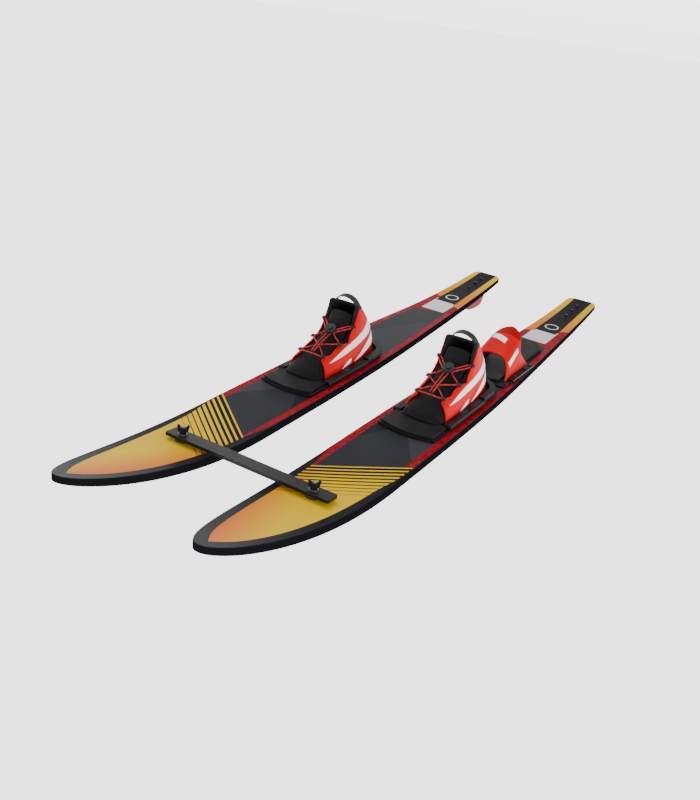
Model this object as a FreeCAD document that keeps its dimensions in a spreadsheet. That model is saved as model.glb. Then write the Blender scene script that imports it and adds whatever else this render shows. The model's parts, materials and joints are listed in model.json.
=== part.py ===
import FreeCAD, Part
import math
import os

import Sketcher
from FreeCAD import Placement, Rotation, Vector

# A pair of combination water skis, joined near the tips by a trainer bar.
#
# Every sub-part is drawn in the ski frame: x across the ski from its centreline, y along the deck
# from the tip towards the tail, z up from the flat of the deck. place() then stands it on the
# floor: the pair rests on the bellies of the skis and on the two fins, with the tails raised.
# The rider faces the tips (-Y), so the left ski is the one at +X.

os.makedirs("parts", exist_ok=True)
doc = FreeCAD.newDocument("water_ski_pair")

SIZES = {
    # ski blanks
    "ski_length": 1702,
    "ski_width": 170,
    "ski_depth": 18,
    "ski_spacing": 301.6,
    "tip_rise": 72.3,
    "tip_depth": 14,
    "tip_curve_end": 466.8,
    "tip_round_length": 460,
    "tail_curve_start": 1300,
    "tail_rise": 17.1,
    "tail_depth": 10,
    "tail_corner": 22,
    "tunnel_depth": 3,
    "tunnel_half_width": 45,
    "tunnel_half_length": 380,
    "tunnel_station": 880,
    "edge_round": 1.5,
    # fins
    "fin_front": 1515,
    "fin_low_station": 1632,
    "fin_reach": 72,
    "fin_rear": 1682,
    "fin_corner": 28,
    "fin_thick": 7,
    "fin_flange_width": 24,
    "fin_flange_depth": 3,
    "fin_screw_radius": 2,
    "fin_screw_head_radius": 4.5,
    # trainer bar
    "bar_station": 315,
    "bar_width": 35,
    "bar_thick": 6,
    "bar_right_end": 30,
    "bar_left_end": 42,
    "bar_height": 8,
    "bar_corner": 5,
    "bar_hole_radius": 4.3,
    "stud_radius": 4,
    "stud_foot_radius": 6.5,
    "stud_foot_depth": 12,
    "stud_reach": 30,
    "spacer_radius": 14,
    "washer_radius": 9,
    "washer_thick": 1.5,
    "nut_bore_radius": 4.05,
    "nut_hub_radius": 7,
    "nut_hub_height": 12,
    "nut_wing_span": 24,
    "nut_wing_height": 18,
    "nut_wing_thick": 3.2,
    # boots
    "plate_front": 641,
    "plate_rear": 1000,
    "plate_half_width": 66,
    "plate_thick": 5,
    "pad_thick": 6,
    "pad_front_half_width": 61,
    "pad_middle_half_width": 45.5,
    "pad_rear_half_width": 39,
    "pad_rear": 955,
    "rail_front": 722,
    "rail_rear": 888,
    "rail_inner": 51.6,
    "rail_outer": 69,
    "rail_height": 8,
    "clip_front": 893,
    "clip_height": 11,
    "upper_thick": 4,
    "lining_gap": 0.4,
    "liner_thick": 3,
    "liner_rise": 8,
    "toe_cap_thick": 3,
    "tongue_thick": 3,
    "lace_radius": 1.5,
    "lace_ring_radius": 4.2,
    "lace_ring_wire": 1.3,
    "lock_radius": 12.5,
    "lock_thick": 11,
    "lock_slope": 32,
    "button_radius": 6,
    "button_gap": 0.15,
    "button_proud": 3,
    "button_depth": 3,
    "button_travel": 2,
    "spring_wire": 0.3,
    "spring_solid": 1.2,
    "spring_coil": 3,
    "heel_loop_width": 14,
    "heel_loop_thick": 1.8,
    "heel_loop_half_span": 33,
    "heel_loop_rise": 33,
    # rear toe strap, on the left ski only
    "strap_plate_front": 1003,
    "strap_plate_rear": 1178,
    "strap_plate_half_width": 64,
    "strap_plate_thick": 4,
    "strap_pad_front": 1012,
    "strap_pad_rear": 1315,
    "strap_pad_half_width": 45,
    "strap_pad_thick": 6,
    "strap_frame_front": 1046,
    "strap_frame_rear": 1168,
    "strap_frame_inner": 53,
    "strap_frame_outer": 69,
    "strap_frame_thick": 4,
    "strap_thick": 4,
    "strap_lining_thick": 2.5,
    # screws and threaded inserts
    "screw_radius": 2.4,
    "screw_head_radius": 4,
    "screw_head_height": 2.5,
    "screw_reach": 9,
    "insert_radius": 4,
    "insert_depth": 12,
    "boot_screw_half_width": 60.5,
    "strap_screw_half_width": 61.5,
}

sheet = doc.addObject("Spreadsheet::Sheet", "Sizes")
for row, (alias, value) in enumerate(SIZES.items(), start=1):
    sheet.set(f"A{row}", alias)
    sheet.set(f"B{row}", str(value))
    sheet.setAlias(f"B{row}", alias)
doc.recompute()

SIDES = {"left": 1, "right": -1}
X_AXIS = Vector(1, 0, 0)
Y_AXIS = Vector(0, 1, 0)
Z_AXIS = Vector(0, 0, 1)

# Half widths of the blank behind the round of the tip: (station, half width).
SIDE_CUT = [
    (460, 85),
    (800, 83.2),
    (1000, 77.2),
    (1200, 65.5),
    (1400, 53.2),
    (1600, 45.2),
    (1680, 42.6),
]
FIN_SCREW_STATIONS = [1567, 1612, 1650]
# The deck slopes under the fin screws, so their heads sit this far over its height at the centre.
FIN_SCREW_LIFT = 0.4
BOOT_SCREW_STATIONS = [745, 815, 876]
STRAP_SCREW_STATIONS = [1070, 1130, 1160]
STRAP_FRONT_SCREW_STATION = 1020

# Half of the boot's upper, from the front of its wing round to the heel's centre. Each rib runs
# from below the top of the base plate, where the shell is cut level, up to the top edge.
UPPER_RIBS = [
    [(50, 737, 1), (49, 738, 20), (42, 740, 37), (30, 744, 49)],
    [(51, 772, 1), (50, 772, 24), (45, 772, 43), (33, 773, 57)],
    [(51, 808, 1), (50.5, 807, 28), (47, 806, 49), (36, 806, 65)],
    [(50, 846, 1), (50, 844, 32), (47.5, 842, 59), (40, 841, 82)],
    [(49, 882, 1), (49, 877, 40), (46.5, 869, 80), (41, 862, 117)],
    [(47, 914, 1), (47, 905, 42), (45, 890, 88), (40, 872, 135)],
    [(41, 946, 1), (41, 938, 40), (38.5, 920, 84), (36, 896, 127)],
    [(26, 974, 1), (26, 968, 36), (25, 948, 80), (23, 914, 121)],
    [(0, 986, 1), (0, 981, 34), (0, 960, 76), (0, 922, 118)],
]
LINER_FRONT = 797
FIRST_RAISED_RIB = 4

# Half arches, each from its base up to the crown, from the front to the rear.
TOE_CAP_ARCHES = [
    [(46.5, 722, 11.1), (38, 712.5, 12.2), (20, 706, 13.6), (0, 704, 14.2)],
    [(46.5, 727, 11.1), (40, 723, 22), (24, 717, 33), (0, 714, 37)],
    [(45, 738, 11.1), (41, 738, 27), (26, 737, 44), (0, 734, 50)],
    [(45, 765, 11.1), (43, 765, 28), (28, 765, 50.5), (0, 764, 56)],
    [(45, 790, 11.1), (43.5, 790, 30), (30, 790, 56), (0, 789, 61)],
]
TONGUE_ARCHES = [
    [(27, 793, 56.5), (15, 792, 60), (0, 791, 61)],
    [(28, 826, 73), (15, 825, 77), (0, 824, 78.5)],
    [(28, 846, 97), (15, 844, 101), (0, 843, 102.5)],
    [(27, 862, 121), (15, 859, 125), (0, 857, 126.5)],
]
STRAP_ARCHES = [
    [(52, 1048, 1), (53, 1056, 26), (37.5, 1069, 44), (0, 1078, 50)],
    [(52, 1075, 1), (53, 1079, 30), (37, 1088, 51), (0, 1096, 58)],
    [(52, 1105, 1), (52.5, 1107, 37), (36, 1114, 62), (0, 1118, 70)],
    [(52, 1135, 1), (51.5, 1132, 42), (35, 1135, 72), (0, 1138, 82)],
    [(52, 1163, 1), (50.5, 1150, 42), (34, 1152, 78), (0, 1158, 91)],
]

LOCK_CENTRE = Vector(0, 820, 92)
LACE_RINGS = [(38.5, 847.5, 99.3), (35, 802.5, 71), (28.5, 746, 56.8)]
LACE_RING_SLOPES = [57, 22, 14]

# The lace's route on one side of the boot, from its end at the foot of the throat, through the
# lock, to the crossing over the instep, and on to the middle of the strand across the toe. The
# other half is the same route turned round.
LACE_HALF = [
    (3.2, 750, 60),
    (3.6, 780, 74),
    (4.2, 811.5, 83),
    (6.5, 823.3, 90.3),
    (14, 828, 93.5),
    (33.4, 848.4, 101.3),
    (37.5, 848, 100),
    (38.6, 844.6, 97.7),
    (14, 820.8, 89),
    (9.5, 814.8, 85),
    (34.5, 805.4, 71.7),
    (35, 801, 70.2),
    (0, 777, 66),
]
LACE_CROSSED_HALF = [
    (-30, 748, 57),
    (-28.2, 743.3, 56.4),
    (0, 740, 59.5),
]
LACE_CROSSING_RISE = 1.9
SPRING_TURNS = 2


def size(alias):
    """A driving dimension's value, from the spreadsheet."""
    return float(sheet.get(alias))


def bind(target, prop, formula):
    """Ties a property to the spreadsheet: every word of the formula that is an alias is a cell."""
    words = formula.split()
    target.setExpression(prop, " ".join("Sizes." + word if word in SIZES else word for word in words))


def arc_radius(run, rise):
    """The radius of an arc that starts level and climbs by rise over run."""
    return (run**2 + rise**2) / (2 * rise)


# ---------------------------------------------------------------- the stance on the floor

tip_run = size("tip_curve_end")
tail_run = size("ski_length") - size("tail_curve_start")
deck_tip_radius = arc_radius(tip_run, size("tip_rise"))
base_tip_radius = arc_radius(tip_run, size("tip_rise") + size("ski_depth") - size("tip_depth"))
deck_tail_radius = arc_radius(tail_run, size("tail_rise"))
base_tail_radius = arc_radius(tail_run, size("tail_rise") + size("ski_depth") - size("tail_depth"))
base_tail_centre = base_tail_radius - size("ski_depth")


def base_tail_height(station):
    """Height of the running base over the tail's rocker."""
    return base_tail_centre - math.sqrt(base_tail_radius**2 - (station - size("tail_curve_start")) ** 2)


def deck_height(station):
    """Height of the deck at a station."""
    if station < tip_run:
        return deck_tip_radius - math.sqrt(deck_tip_radius**2 - (tip_run - station) ** 2)
    if station < size("tail_curve_start"):
        return 0.0
    return deck_tail_radius - math.sqrt(deck_tail_radius**2 - (station - size("tail_curve_start")) ** 2)


fin_root = base_tail_height(size("fin_low_station"))
fin_run = size("fin_low_station") - size("fin_front")


def belly_low(angle):
    """How low the arc of the belly reaches when the ski is tilted by angle."""
    centre_height = base_tip_radius - size("ski_depth")
    return tip_run * math.sin(angle) + centre_height * math.cos(angle) - base_tip_radius


def fin_low(angle):
    """How low the elliptic leading edge of the fin reaches when the ski is tilted by angle."""
    depth = size("fin_reach") + fin_root
    reach = math.hypot(fin_run * math.sin(angle), depth * math.cos(angle))
    return size("fin_low_station") * math.sin(angle) + fin_root * math.cos(angle) - reach


def standing_angle():
    """The tilt at which the belly and the fin touch the same floor, in radians."""
    low, high = 0.0, math.radians(10)
    for _ in range(60):
        middle = (low + high) / 2
        if fin_low(middle) < belly_low(middle):
            low = middle
        else:
            high = middle
    return (low + high) / 2


tilt = standing_angle()
tip_y = -size("tip_rise") * math.sin(tilt)
tail_bottom = size("tail_rise") - size("tail_depth")
tail_y = size("ski_length") * math.cos(tilt) - tail_bottom * math.sin(tilt)
STANCE = Placement(
    Vector(0, -(tip_y + tail_y) / 2, -belly_low(tilt)), Rotation(X_AXIS, math.degrees(tilt))
)


def side_shift(side):
    """From the ski frame to the pair's frame, before it is stood up."""
    return Placement(Vector(SIDES[side] * size("ski_spacing") / 2, 0, 0), Rotation())


def place(item, side, local=None):
    """Stands a sub-part of one ski on the floor."""
    item.Placement = STANCE.multiply(side_shift(side)).multiply(local or Placement())


# ---------------------------------------------------------------- sketch and feature helpers


def new_body(label):
    body = doc.addObject("PartDesign::Body", label)
    body.Label = label
    body.AllowCompound = True
    return body


def new_sketch(body, name, role, offset=None):
    sketch = body.newObject("Sketcher::SketchObject", name)
    plane = next(item for item in body.Origin.OriginFeatures if item.Role == role)
    sketch.AttachmentSupport = [(plane, "")]
    sketch.MapMode = "FlatFace"
    if offset is not None:
        sketch.AttachmentOffset = offset
    return sketch


def add_outline(sketch, curves):
    """Adds one closed outline and ties each curve's end to the next one's start."""
    first = sketch.GeometryCount
    for curve in curves:
        sketch.addGeometry(curve, False)
    ends = [(curve.StartPoint, curve.EndPoint) for curve in curves]
    for index in range(len(curves)):
        following = (index + 1) % len(curves)
        pairs = [
            (ends[index][own - 1].distanceToPoint(ends[following][other - 1]), own, other)
            for own in (1, 2)
            for other in (1, 2)
        ]
        _, own, other = min(pairs)
        sketch.addConstraint(
            Sketcher.Constraint("Coincident", first + index, own, first + following, other)
        )
    return first


def drive(sketch, kind, geometry, point, formula, value):
    """Adds a dimension to a sketch and ties it to the spreadsheet."""
    if point is None:
        index = sketch.addConstraint(Sketcher.Constraint(kind, geometry, value))
    else:
        index = sketch.addConstraint(Sketcher.Constraint(kind, geometry, point, value))
    name = f"{sketch.Name}_dim_{index}"
    sketch.renameConstraint(index, name)
    bind(sketch, f"Constraints.{name}", formula)


def line(start, end):
    return Part.LineSegment(Vector(*start, 0), Vector(*end, 0))


def arc(centre, radius, start, end):
    """An arc of a circle, turning left from start to end, in degrees."""
    circle = Part.Circle(Vector(*centre, 0), Z_AXIS, radius)
    return Part.ArcOfCircle(circle, math.radians(start), math.radians(end))


def add_rectangle(sketch, left, right, low, high):
    """A rectangle whose four sides are each (formula, value)."""
    corners = [
        (left[1], low[1]),
        (right[1], low[1]),
        (right[1], high[1]),
        (left[1], high[1]),
    ]
    first = add_outline(sketch, [line(corners[i], corners[(i + 1) % 4]) for i in range(4)])
    for index in (0, 2):
        sketch.addConstraint(Sketcher.Constraint("Horizontal", first + index))
    for index in (1, 3):
        sketch.addConstraint(Sketcher.Constraint("Vertical", first + index))
    drive(sketch, "DistanceX", first, 1, *left)
    drive(sketch, "DistanceX", first + 1, 1, *right)
    drive(sketch, "DistanceY", first, 1, *low)
    drive(sketch, "DistanceY", first + 2, 1, *high)


def add_circle(sketch, x, y, alias):
    """A circle at a place, with its radius tied to the spreadsheet."""
    index = sketch.addGeometry(Part.Circle(Vector(x, y, 0), Z_AXIS, size(alias)), False)
    sketch.addConstraint(Sketcher.Constraint("DistanceX", index, 3, x))
    sketch.addConstraint(Sketcher.Constraint("DistanceY", index, 3, y))
    drive(sketch, "Radius", index, None, alias, size(alias))


def pad(body, sketch, formula, both_sides=False, backwards=False):
    feature = body.newObject("PartDesign::Pad", sketch.Name + "_pad")
    feature.Profile = sketch
    feature.Midplane = both_sides
    feature.Reversed = backwards
    bind(feature, "Length", formula)
    sketch.Visibility = False
    doc.recompute()
    return feature


def pocket(body, sketch, formula=None, backwards=False):
    """Cuts a sketch out of the body, to a depth or right through both ways."""
    before = body.Shape.Volume
    feature = body.newObject("PartDesign::Pocket", sketch.Name + "_pocket")
    feature.Profile = sketch
    if formula is None:
        feature.Type = "ThroughAll"
        feature.Midplane = True
    else:
        feature.Reversed = backwards
        bind(feature, "Length", formula)
    doc.recompute()
    if not body.Shape.Volume < before - 1:
        raise RuntimeError(f"{feature.Name} cuts nothing")
    return feature


def round_edges(body, feature, edges, formula):
    """Rounds the named edges of a feature."""
    fillet = body.newObject("PartDesign::Fillet", feature.Name + "_round")
    fillet.Base = (feature, edges)
    bind(fillet, "Radius", formula)
    doc.recompute()
    return fillet


def edges_at_height(shape, height):
    """The names of the edges that lie wholly at one height."""
    found = []
    for index, edge in enumerate(shape.Edges, start=1):
        box = edge.BoundBox
        if abs(box.ZMin - height) < 0.01 and abs(box.ZMax - height) < 0.01:
            found.append(f"Edge{index}")
    return found


def cylinder(name, radius, height, start, direction=Z_AXIS):
    """A cylinder whose radius and height are formulas, from start along direction."""
    item = doc.addObject("Part::Cylinder", name)
    bind(item, "Radius", radius)
    bind(item, "Height", height)
    item.Placement = Placement(start, Rotation(Z_AXIS, direction))
    return item


def joined(label, items):
    """Several solids in one sub-part."""
    group = doc.addObject("Part::Compound", label)
    group.Label = label
    group.Links = items
    return group


def cut(name, base, tool):
    item = doc.addObject("Part::Cut", name)
    item.Base = base
    item.Tool = tool
    return item


def fused(name, items):
    item = doc.addObject("Part::MultiFuse", name)
    item.Shapes = items
    return item


def solid_feature(label, shape):
    item = doc.addObject("Part::Feature", label)
    item.Label = label
    item.Shape = shape
    return item


# ---------------------------------------------------------------- shells drawn by their ribs


def mirrored(point):
    return (-point[0], point[1], point[2])


def whole_horseshoe(half):
    """All ribs of a horseshoe, from one front end round the heel to the other."""
    other = [[mirrored(point) for point in rib] for rib in half[:-1]]
    return [[Vector(*point) for point in rib] for rib in half + other[::-1]]


def whole_arch(half):
    """One arch from base to base over the crown."""
    return [Vector(*point) for point in half] + [Vector(*mirrored(point)) for point in half[-2::-1]]


def inward_normals(ribs, inside):
    """Unit normals at every rib point, turned towards the point inside."""
    rows = []
    for i, rib in enumerate(ribs):
        before, after = ribs[max(i - 1, 0)], ribs[min(i + 1, len(ribs) - 1)]
        row = []
        for j, point in enumerate(rib):
            across = after[j] - before[j]
            along = rib[min(j + 1, len(rib) - 1)] - rib[max(j - 1, 0)]
            normal = across.cross(along).normalize()
            if normal.dot(inside - point) < 0:
                normal = normal * -1
            row.append(normal)
        rows.append(row)
    return rows


def halved(row):
    """A row of points with one more between each two, on the cubic through their neighbours."""
    ends = [row[0] * 2 - row[1], *row, row[-1] * 2 - row[-2]]
    finer = [row[0]]
    for before, start, end, after in zip(ends, ends[1:], ends[2:], ends[3:]):
        finer.append((start + end) * (9 / 16) - (before + after) * (1 / 16))
        finer.append(end)
    return finer


def refined(ribs):
    """The ribs with one more between each two, and more points along each."""
    columns = [halved(list(column)) for column in zip(*ribs)]
    return [halved(list(rib)) for rib in zip(*columns)]


def shell(ribs, inside, outer_offset, inner_offset):
    """A thin solid between two offsets of the smooth surface through the ribs."""
    ribs = refined(ribs)
    normals = inward_normals(ribs, inside)
    surfaces = []
    for offset in (outer_offset, inner_offset):
        grid = [[p + n * offset for p, n in zip(*pair)] for pair in zip(ribs, normals)]
        surface = Part.BSplineSurface()
        surface.interpolate(grid)
        surfaces.append(surface)
    outer, inner = surfaces
    faces = [outer.toShape(), inner.toShape()]
    for own, other in zip(border(outer), border(inner)):
        faces.append(Part.makeRuledSurface(own.toShape(), other.toShape()))
    skin = Part.makeShell(faces)
    skin.sewShape()
    solid = Part.makeSolid(skin)
    if solid.Volume < 0:
        solid.reverse()
    return solid


def border(surface):
    """The four edges of a surface, as curves."""
    u_low, u_high, v_low, v_high = surface.bounds()
    return [
        surface.uIso(u_low),
        surface.uIso(u_high),
        surface.vIso(v_low),
        surface.vIso(v_high),
    ]


def cord_path(points):
    """Straight runs joined by tangent arcs, each as large as its two runs allow."""
    edges = []
    radii = []
    reached = points[0]
    for before, corner, after in zip(points, points[1:], points[2:]):
        towards = (before - corner).normalize()
        away = (after - corner).normalize()
        turn = math.pi - towards.getAngle(away)
        trim = 0.45 * min(before.distanceToPoint(corner), after.distanceToPoint(corner))
        radius = trim / math.tan(turn / 2)
        start = corner + towards * trim
        end = corner + away * trim
        bisector = (towards + away).normalize()
        centre = corner + bisector * math.hypot(radius, trim)
        middle = centre - bisector * radius
        edges.append(Part.makeLine(reached, start))
        edges.append(Part.Arc(start, middle, end).toShape())
        radii.append(radius)
        reached = end
    edges.append(Part.makeLine(reached, points[-1]))
    return Part.Wire(edges), radii


def cord(points, radius, name):
    """A round cord along a path. Its volume has to be its section times its length."""
    path, radii = cord_path(points)
    start = points[0]
    section = Part.Wire(Part.makeCircle(radius, start, points[1] - start))
    tube = path.makePipeShell([section], True, False)
    expected = math.pi * radius**2 * path.Length
    print(f"{name}: length {path.Length:.1f}, tightest bend {min(radii):.1f}")
    print("  radii", " ".join(f"{r:.1f}" for r in radii))
    if abs(tube.Volume / expected - 1) > 0.01:
        raise RuntimeError(f"{name}: volume {tube.Volume:.1f}, expected {expected:.1f}")
    return tube


# ---------------------------------------------------------------- the ski and its fin


def screw_places(side):
    """(x, station) of every binding screw of one ski."""
    places = [
        (x_sign * size("boot_screw_half_width"), station)
        for x_sign in (1, -1)
        for station in BOOT_SCREW_STATIONS
    ]
    if side == "left":
        places += strap_screw_places()
    return places


def strap_screw_places():
    return [
        (x_sign * size("strap_screw_half_width"), station)
        for x_sign in (1, -1)
        for station in [STRAP_FRONT_SCREW_STATION, *STRAP_SCREW_STATIONS]
    ]


def bar_frame():
    """The trainer bar's station on the deck, with z along the stud, square to the deck."""
    station = size("bar_station")
    slope = math.degrees(math.asin((tip_run - station) / deck_tip_radius))
    return Placement(Vector(0, station, deck_height(station)), Rotation(X_AXIS, -slope))


def side_profile(sketch):
    """The ski seen from the side: a level middle, with rocker at the tip and at the tail."""
    depth = size("ski_depth")
    tail_start = size("tail_curve_start")
    tip_turn = math.degrees(math.asin(tip_run / deck_tip_radius))
    base_tip_turn = math.degrees(math.asin(tip_run / base_tip_radius))
    tail_turn = math.degrees(math.asin(tail_run / deck_tail_radius))
    base_tail_turn = math.degrees(math.asin(tail_run / base_tail_radius))
    down = 270
    deck_tip = arc((tip_run, deck_tip_radius), deck_tip_radius, down - tip_turn, down)
    base_tip = arc((tip_run, base_tip_radius - depth), base_tip_radius, down - base_tip_turn, down)
    deck_tail = arc((tail_start, deck_tail_radius), deck_tail_radius, down, down + tail_turn)
    base_tail = arc((tail_start, base_tail_centre), base_tail_radius, down, down + base_tail_turn)
    flat_deck = line((tip_run, 0), (tail_start, 0))
    flat_base = line((tail_start, -depth), (tip_run, -depth))
    tail_end = Part.LineSegment(deck_tail.EndPoint, base_tail.EndPoint)
    tip_end = Part.LineSegment(base_tip.StartPoint, deck_tip.StartPoint)
    add_outline(
        sketch,
        [deck_tip, flat_deck, deck_tail, tail_end, base_tail, flat_base, base_tip, tip_end],
    )
    drive(sketch, "DistanceX", 1, 1, "tip_curve_end", tip_run)
    drive(sketch, "DistanceX", 1, 2, "tail_curve_start", tail_start)
    drive(sketch, "DistanceY", 5, 1, "- ski_depth", -depth)


def plan_outline(sketch):
    """The ski seen from above: an elliptic tip, sides that draw in towards a squared tail."""
    half = size("ski_width") / 2
    front = size("tip_round_length")
    corner = size("tail_corner")
    length = size("ski_length")
    ellipse = Part.Ellipse(Vector(0, 0, 0), Vector(half, front, 0), Vector(0, front, 0))
    tip = Part.ArcOfEllipse(ellipse, math.radians(-90), math.radians(90))
    sides = []
    for x_sign in (1, -1):
        points = [Vector(x_sign * width, station, 0) for station, width in SIDE_CUT]
        spline = Part.BSplineCurve()
        inwards = Vector(-x_sign * 0.03, 1, 0)
        spline.interpolate(Points=points, InitialTangent=Y_AXIS, FinalTangent=inwards)
        sides.append(spline)
    tail = SIDE_CUT[-1][1]
    right_corner = arc((tail - corner, length - corner), corner, 0, 90)
    left_corner = arc((corner - tail, length - corner), corner, 90, 180)
    end = line((tail - corner, length), (corner - tail, length))
    add_outline(sketch, [tip, sides[0], right_corner, end, left_corner, sides[1]])


def deck_rim(shape):
    """The names of the edges where the upright sides of the ski meet its deck."""
    names = {edge.hashCode(): f"Edge{index}" for index, edge in enumerate(shape.Edges, start=1)}
    rim = []
    for face in shape.Faces:
        u_low, u_high, v_low, v_high = face.ParameterRange
        if abs(face.normalAt((u_low + u_high) / 2, (v_low + v_high) / 2).z) > 0.01:
            continue
        for edge in face.Edges:
            points = edge.discretize(7)
            if all(abs(point.z - deck_height(point.y)) < 0.05 for point in points):
                rim.append(names[edge.hashCode()])
    return rim


def make_ski(side):
    body = new_body(f"{side}_ski")
    profile = new_sketch(body, f"{side}_ski_profile", "YZ_Plane")
    side_profile(profile)
    pad(body, profile, "ski_width + 20", both_sides=True)

    outline = new_sketch(body, f"{side}_ski_outline", "XY_Plane")
    margin = size("ski_width")
    add_rectangle(
        outline,
        ("- ski_width", -margin),
        ("ski_width", margin),
        ("- ski_width", -margin),
        ("ski_length + ski_width", size("ski_length") + margin),
    )
    plan_outline(outline)
    blank = pocket(body, outline)
    round_edges(body, blank, deck_rim(blank.Shape), "edge_round")

    before = body.Shape.Volume
    tunnel = body.newObject("PartDesign::SubtractiveEllipsoid", f"{side}_ski_tunnel")
    tunnel.Placement = Placement(Vector(0, size("tunnel_station"), -size("ski_depth")), Rotation())
    bind(tunnel, "Radius1", "tunnel_depth")
    bind(tunnel, "Radius2", "tunnel_half_width")
    bind(tunnel, "Radius3", "tunnel_half_length")
    tunnel.Angle1 = -90
    tunnel.Angle2 = 90
    doc.recompute()
    if not body.Shape.Volume < before - 1:
        raise RuntimeError("the tunnel cuts nothing")

    inserts = new_sketch(body, f"{side}_ski_insert_holes", "XY_Plane")
    for x, station in screw_places(side):
        add_circle(inserts, x, station, "insert_radius")
    pocket(body, inserts, "insert_depth")

    above = Placement(Vector(0, 0, 1), Rotation())
    stud = new_sketch(body, f"{side}_ski_stud_hole", "XY_Plane", bar_frame().multiply(above))
    add_circle(stud, 0, 0, "stud_foot_radius")
    pocket(body, stud, "stud_foot_depth + 1")

    fin_holes = new_sketch(body, f"{side}_ski_fin_holes", "XY_Plane")
    for station in FIN_SCREW_STATIONS:
        add_circle(fin_holes, 0, station, "fin_screw_radius")
    pocket(body, fin_holes)
    place(body, side)


def make_fin(side):
    body = new_body(f"{side}_fin")
    low, front, rear = size("fin_low_station"), size("fin_front"), size("fin_rear")
    corner, reach = size("fin_corner"), size("fin_reach")
    run_in = size("tail_curve_start")
    centre = (run_in, base_tail_centre)
    first_turn = 270 + math.degrees(math.asin((front - run_in) / base_tail_radius))
    last_turn = 270 + math.degrees(math.asin((rear - run_in) / base_tail_radius))
    root = arc(centre, base_tail_radius, first_turn, last_turn)

    ellipse = Part.Ellipse(
        Vector(low - fin_run, fin_root, 0), Vector(low, -reach, 0), Vector(low, fin_root, 0)
    )
    nose_turn = math.asin((fin_root - base_tail_height(front)) / (reach + fin_root))
    leading = Part.ArcOfEllipse(ellipse, nose_turn, math.radians(90))
    bottom = line((low, -reach), (rear - corner, -reach))
    heel = arc((rear - corner, corner - reach), corner, 270, 360)
    trailing = Part.LineSegment(Vector(rear, corner - reach, 0), root.EndPoint)
    nose = Part.LineSegment(root.StartPoint, leading.StartPoint)
    blade = new_sketch(body, f"{side}_fin_blade", "YZ_Plane")
    add_outline(blade, [root, trailing, heel, bottom, leading, nose])
    pad(body, blade, "fin_thick", both_sides=True)

    under = arc(centre, base_tail_radius + size("fin_flange_depth"), first_turn, last_turn)
    rear_edge = Part.LineSegment(root.EndPoint, under.EndPoint)
    front_edge = Part.LineSegment(under.StartPoint, root.StartPoint)
    foot = new_sketch(body, f"{side}_fin_flange", "YZ_Plane")
    add_outline(foot, [root, rear_edge, under, front_edge])
    pad(body, foot, "fin_flange_width", both_sides=True)

    tip_height = Placement(Vector(0, 0, fin_screw_tip()), Rotation())
    holes = new_sketch(body, f"{side}_fin_holes", "XY_Plane", tip_height)
    for station in FIN_SCREW_STATIONS:
        add_circle(holes, 0, station, "fin_screw_radius")
    pocket(body, holes, "fin_reach", backwards=True)
    place(body, side)


def fin_screw_tip():
    """How deep the fin screws reach into the fin."""
    return fin_root - 20


def make_fin_screws(side):
    screws = []
    for index, station in enumerate(FIN_SCREW_STATIONS):
        name = f"{side}_fin_screw_{index}"
        head_height = deck_height(station) + FIN_SCREW_LIFT
        length = head_height - fin_screw_tip()
        tip = Vector(0, station, fin_screw_tip())
        top = Vector(0, station, head_height)
        shank = cylinder(name + "_shank", "fin_screw_radius", f"{length:.3f}", tip)
        head = cylinder(name + "_head", "fin_screw_head_radius", "screw_head_height", top)
        screws.append(fused(name, [shank, head]))
    place(joined(f"{side}_fin_screws", screws), side)


# ---------------------------------------------------------------- trainer bar


def make_bar_fixings(side):
    frame = bar_frame()
    low = Vector(0, 0, -size("stud_foot_depth"))
    foot = cylinder(f"{side}_stud_foot", "stud_foot_radius", "stud_foot_depth - 1", low)
    shaft = cylinder(f"{side}_stud_shaft", "stud_radius", "stud_foot_depth + stud_reach", low)
    stud = fused(f"{side}_bar_stud", [foot, shaft])
    place(stud, side, frame)

    seat = Vector(0, 0, 0.1)
    ring = cylinder(f"{side}_spacer_ring", "spacer_radius", "bar_height - 0.4", seat)
    hole = cylinder(f"{side}_spacer_hole", "stud_radius", "bar_height + 4", seat - Z_AXIS * 2)
    spacer = cut(f"{side}_bar_spacer", ring, hole)
    place(spacer, side, frame)


def make_wing_nut(side):
    """A wing nut on the stud, 0.2 mm above the washer."""
    body = new_body(f"{side}_wing_nut")
    hub = new_sketch(body, f"{side}_nut_hub", "XY_Plane")
    add_circle(hub, 0, 0, "nut_hub_radius")
    add_circle(hub, 0, 0, "nut_bore_radius")
    pad(body, hub, "nut_hub_height")
    for name, x_sign in (("first", 1), ("second", -1)):
        inner = size("nut_bore_radius") + 1.2
        tip = size("nut_wing_span") / 2
        top = size("nut_wing_height")
        low = 3
        wing_round = 4
        wing = new_sketch(body, f"{side}_nut_wing_{name}", "XZ_Plane")
        curves = [
            line((x_sign * inner, low), (x_sign * tip * 0.75, low)),
            line((x_sign * tip * 0.75, low), (x_sign * tip, top - wing_round)),
            wing_top(x_sign, tip, top, wing_round),
            line((x_sign * (tip - wing_round), top), (x_sign * inner, size("nut_hub_height"))),
            line((x_sign * inner, size("nut_hub_height")), (x_sign * inner, low)),
        ]
        add_outline(wing, curves)
        pad(body, wing, "nut_wing_thick", both_sides=True)
    lift = size("bar_height") + size("bar_thick") + size("washer_thick") + 0.3
    frame = bar_frame().multiply(Placement(Vector(0, 0, lift), Rotation(Z_AXIS, 35)))
    place(body, side, frame)


def wing_top(x_sign, tip, top, radius):
    """The rounded tip of a wing, between its outer edge and its top."""
    centre = (x_sign * (tip - radius), top - radius)
    if x_sign > 0:
        return arc(centre, radius, 0, 90)
    return arc(centre, radius, 90, 180)


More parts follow.
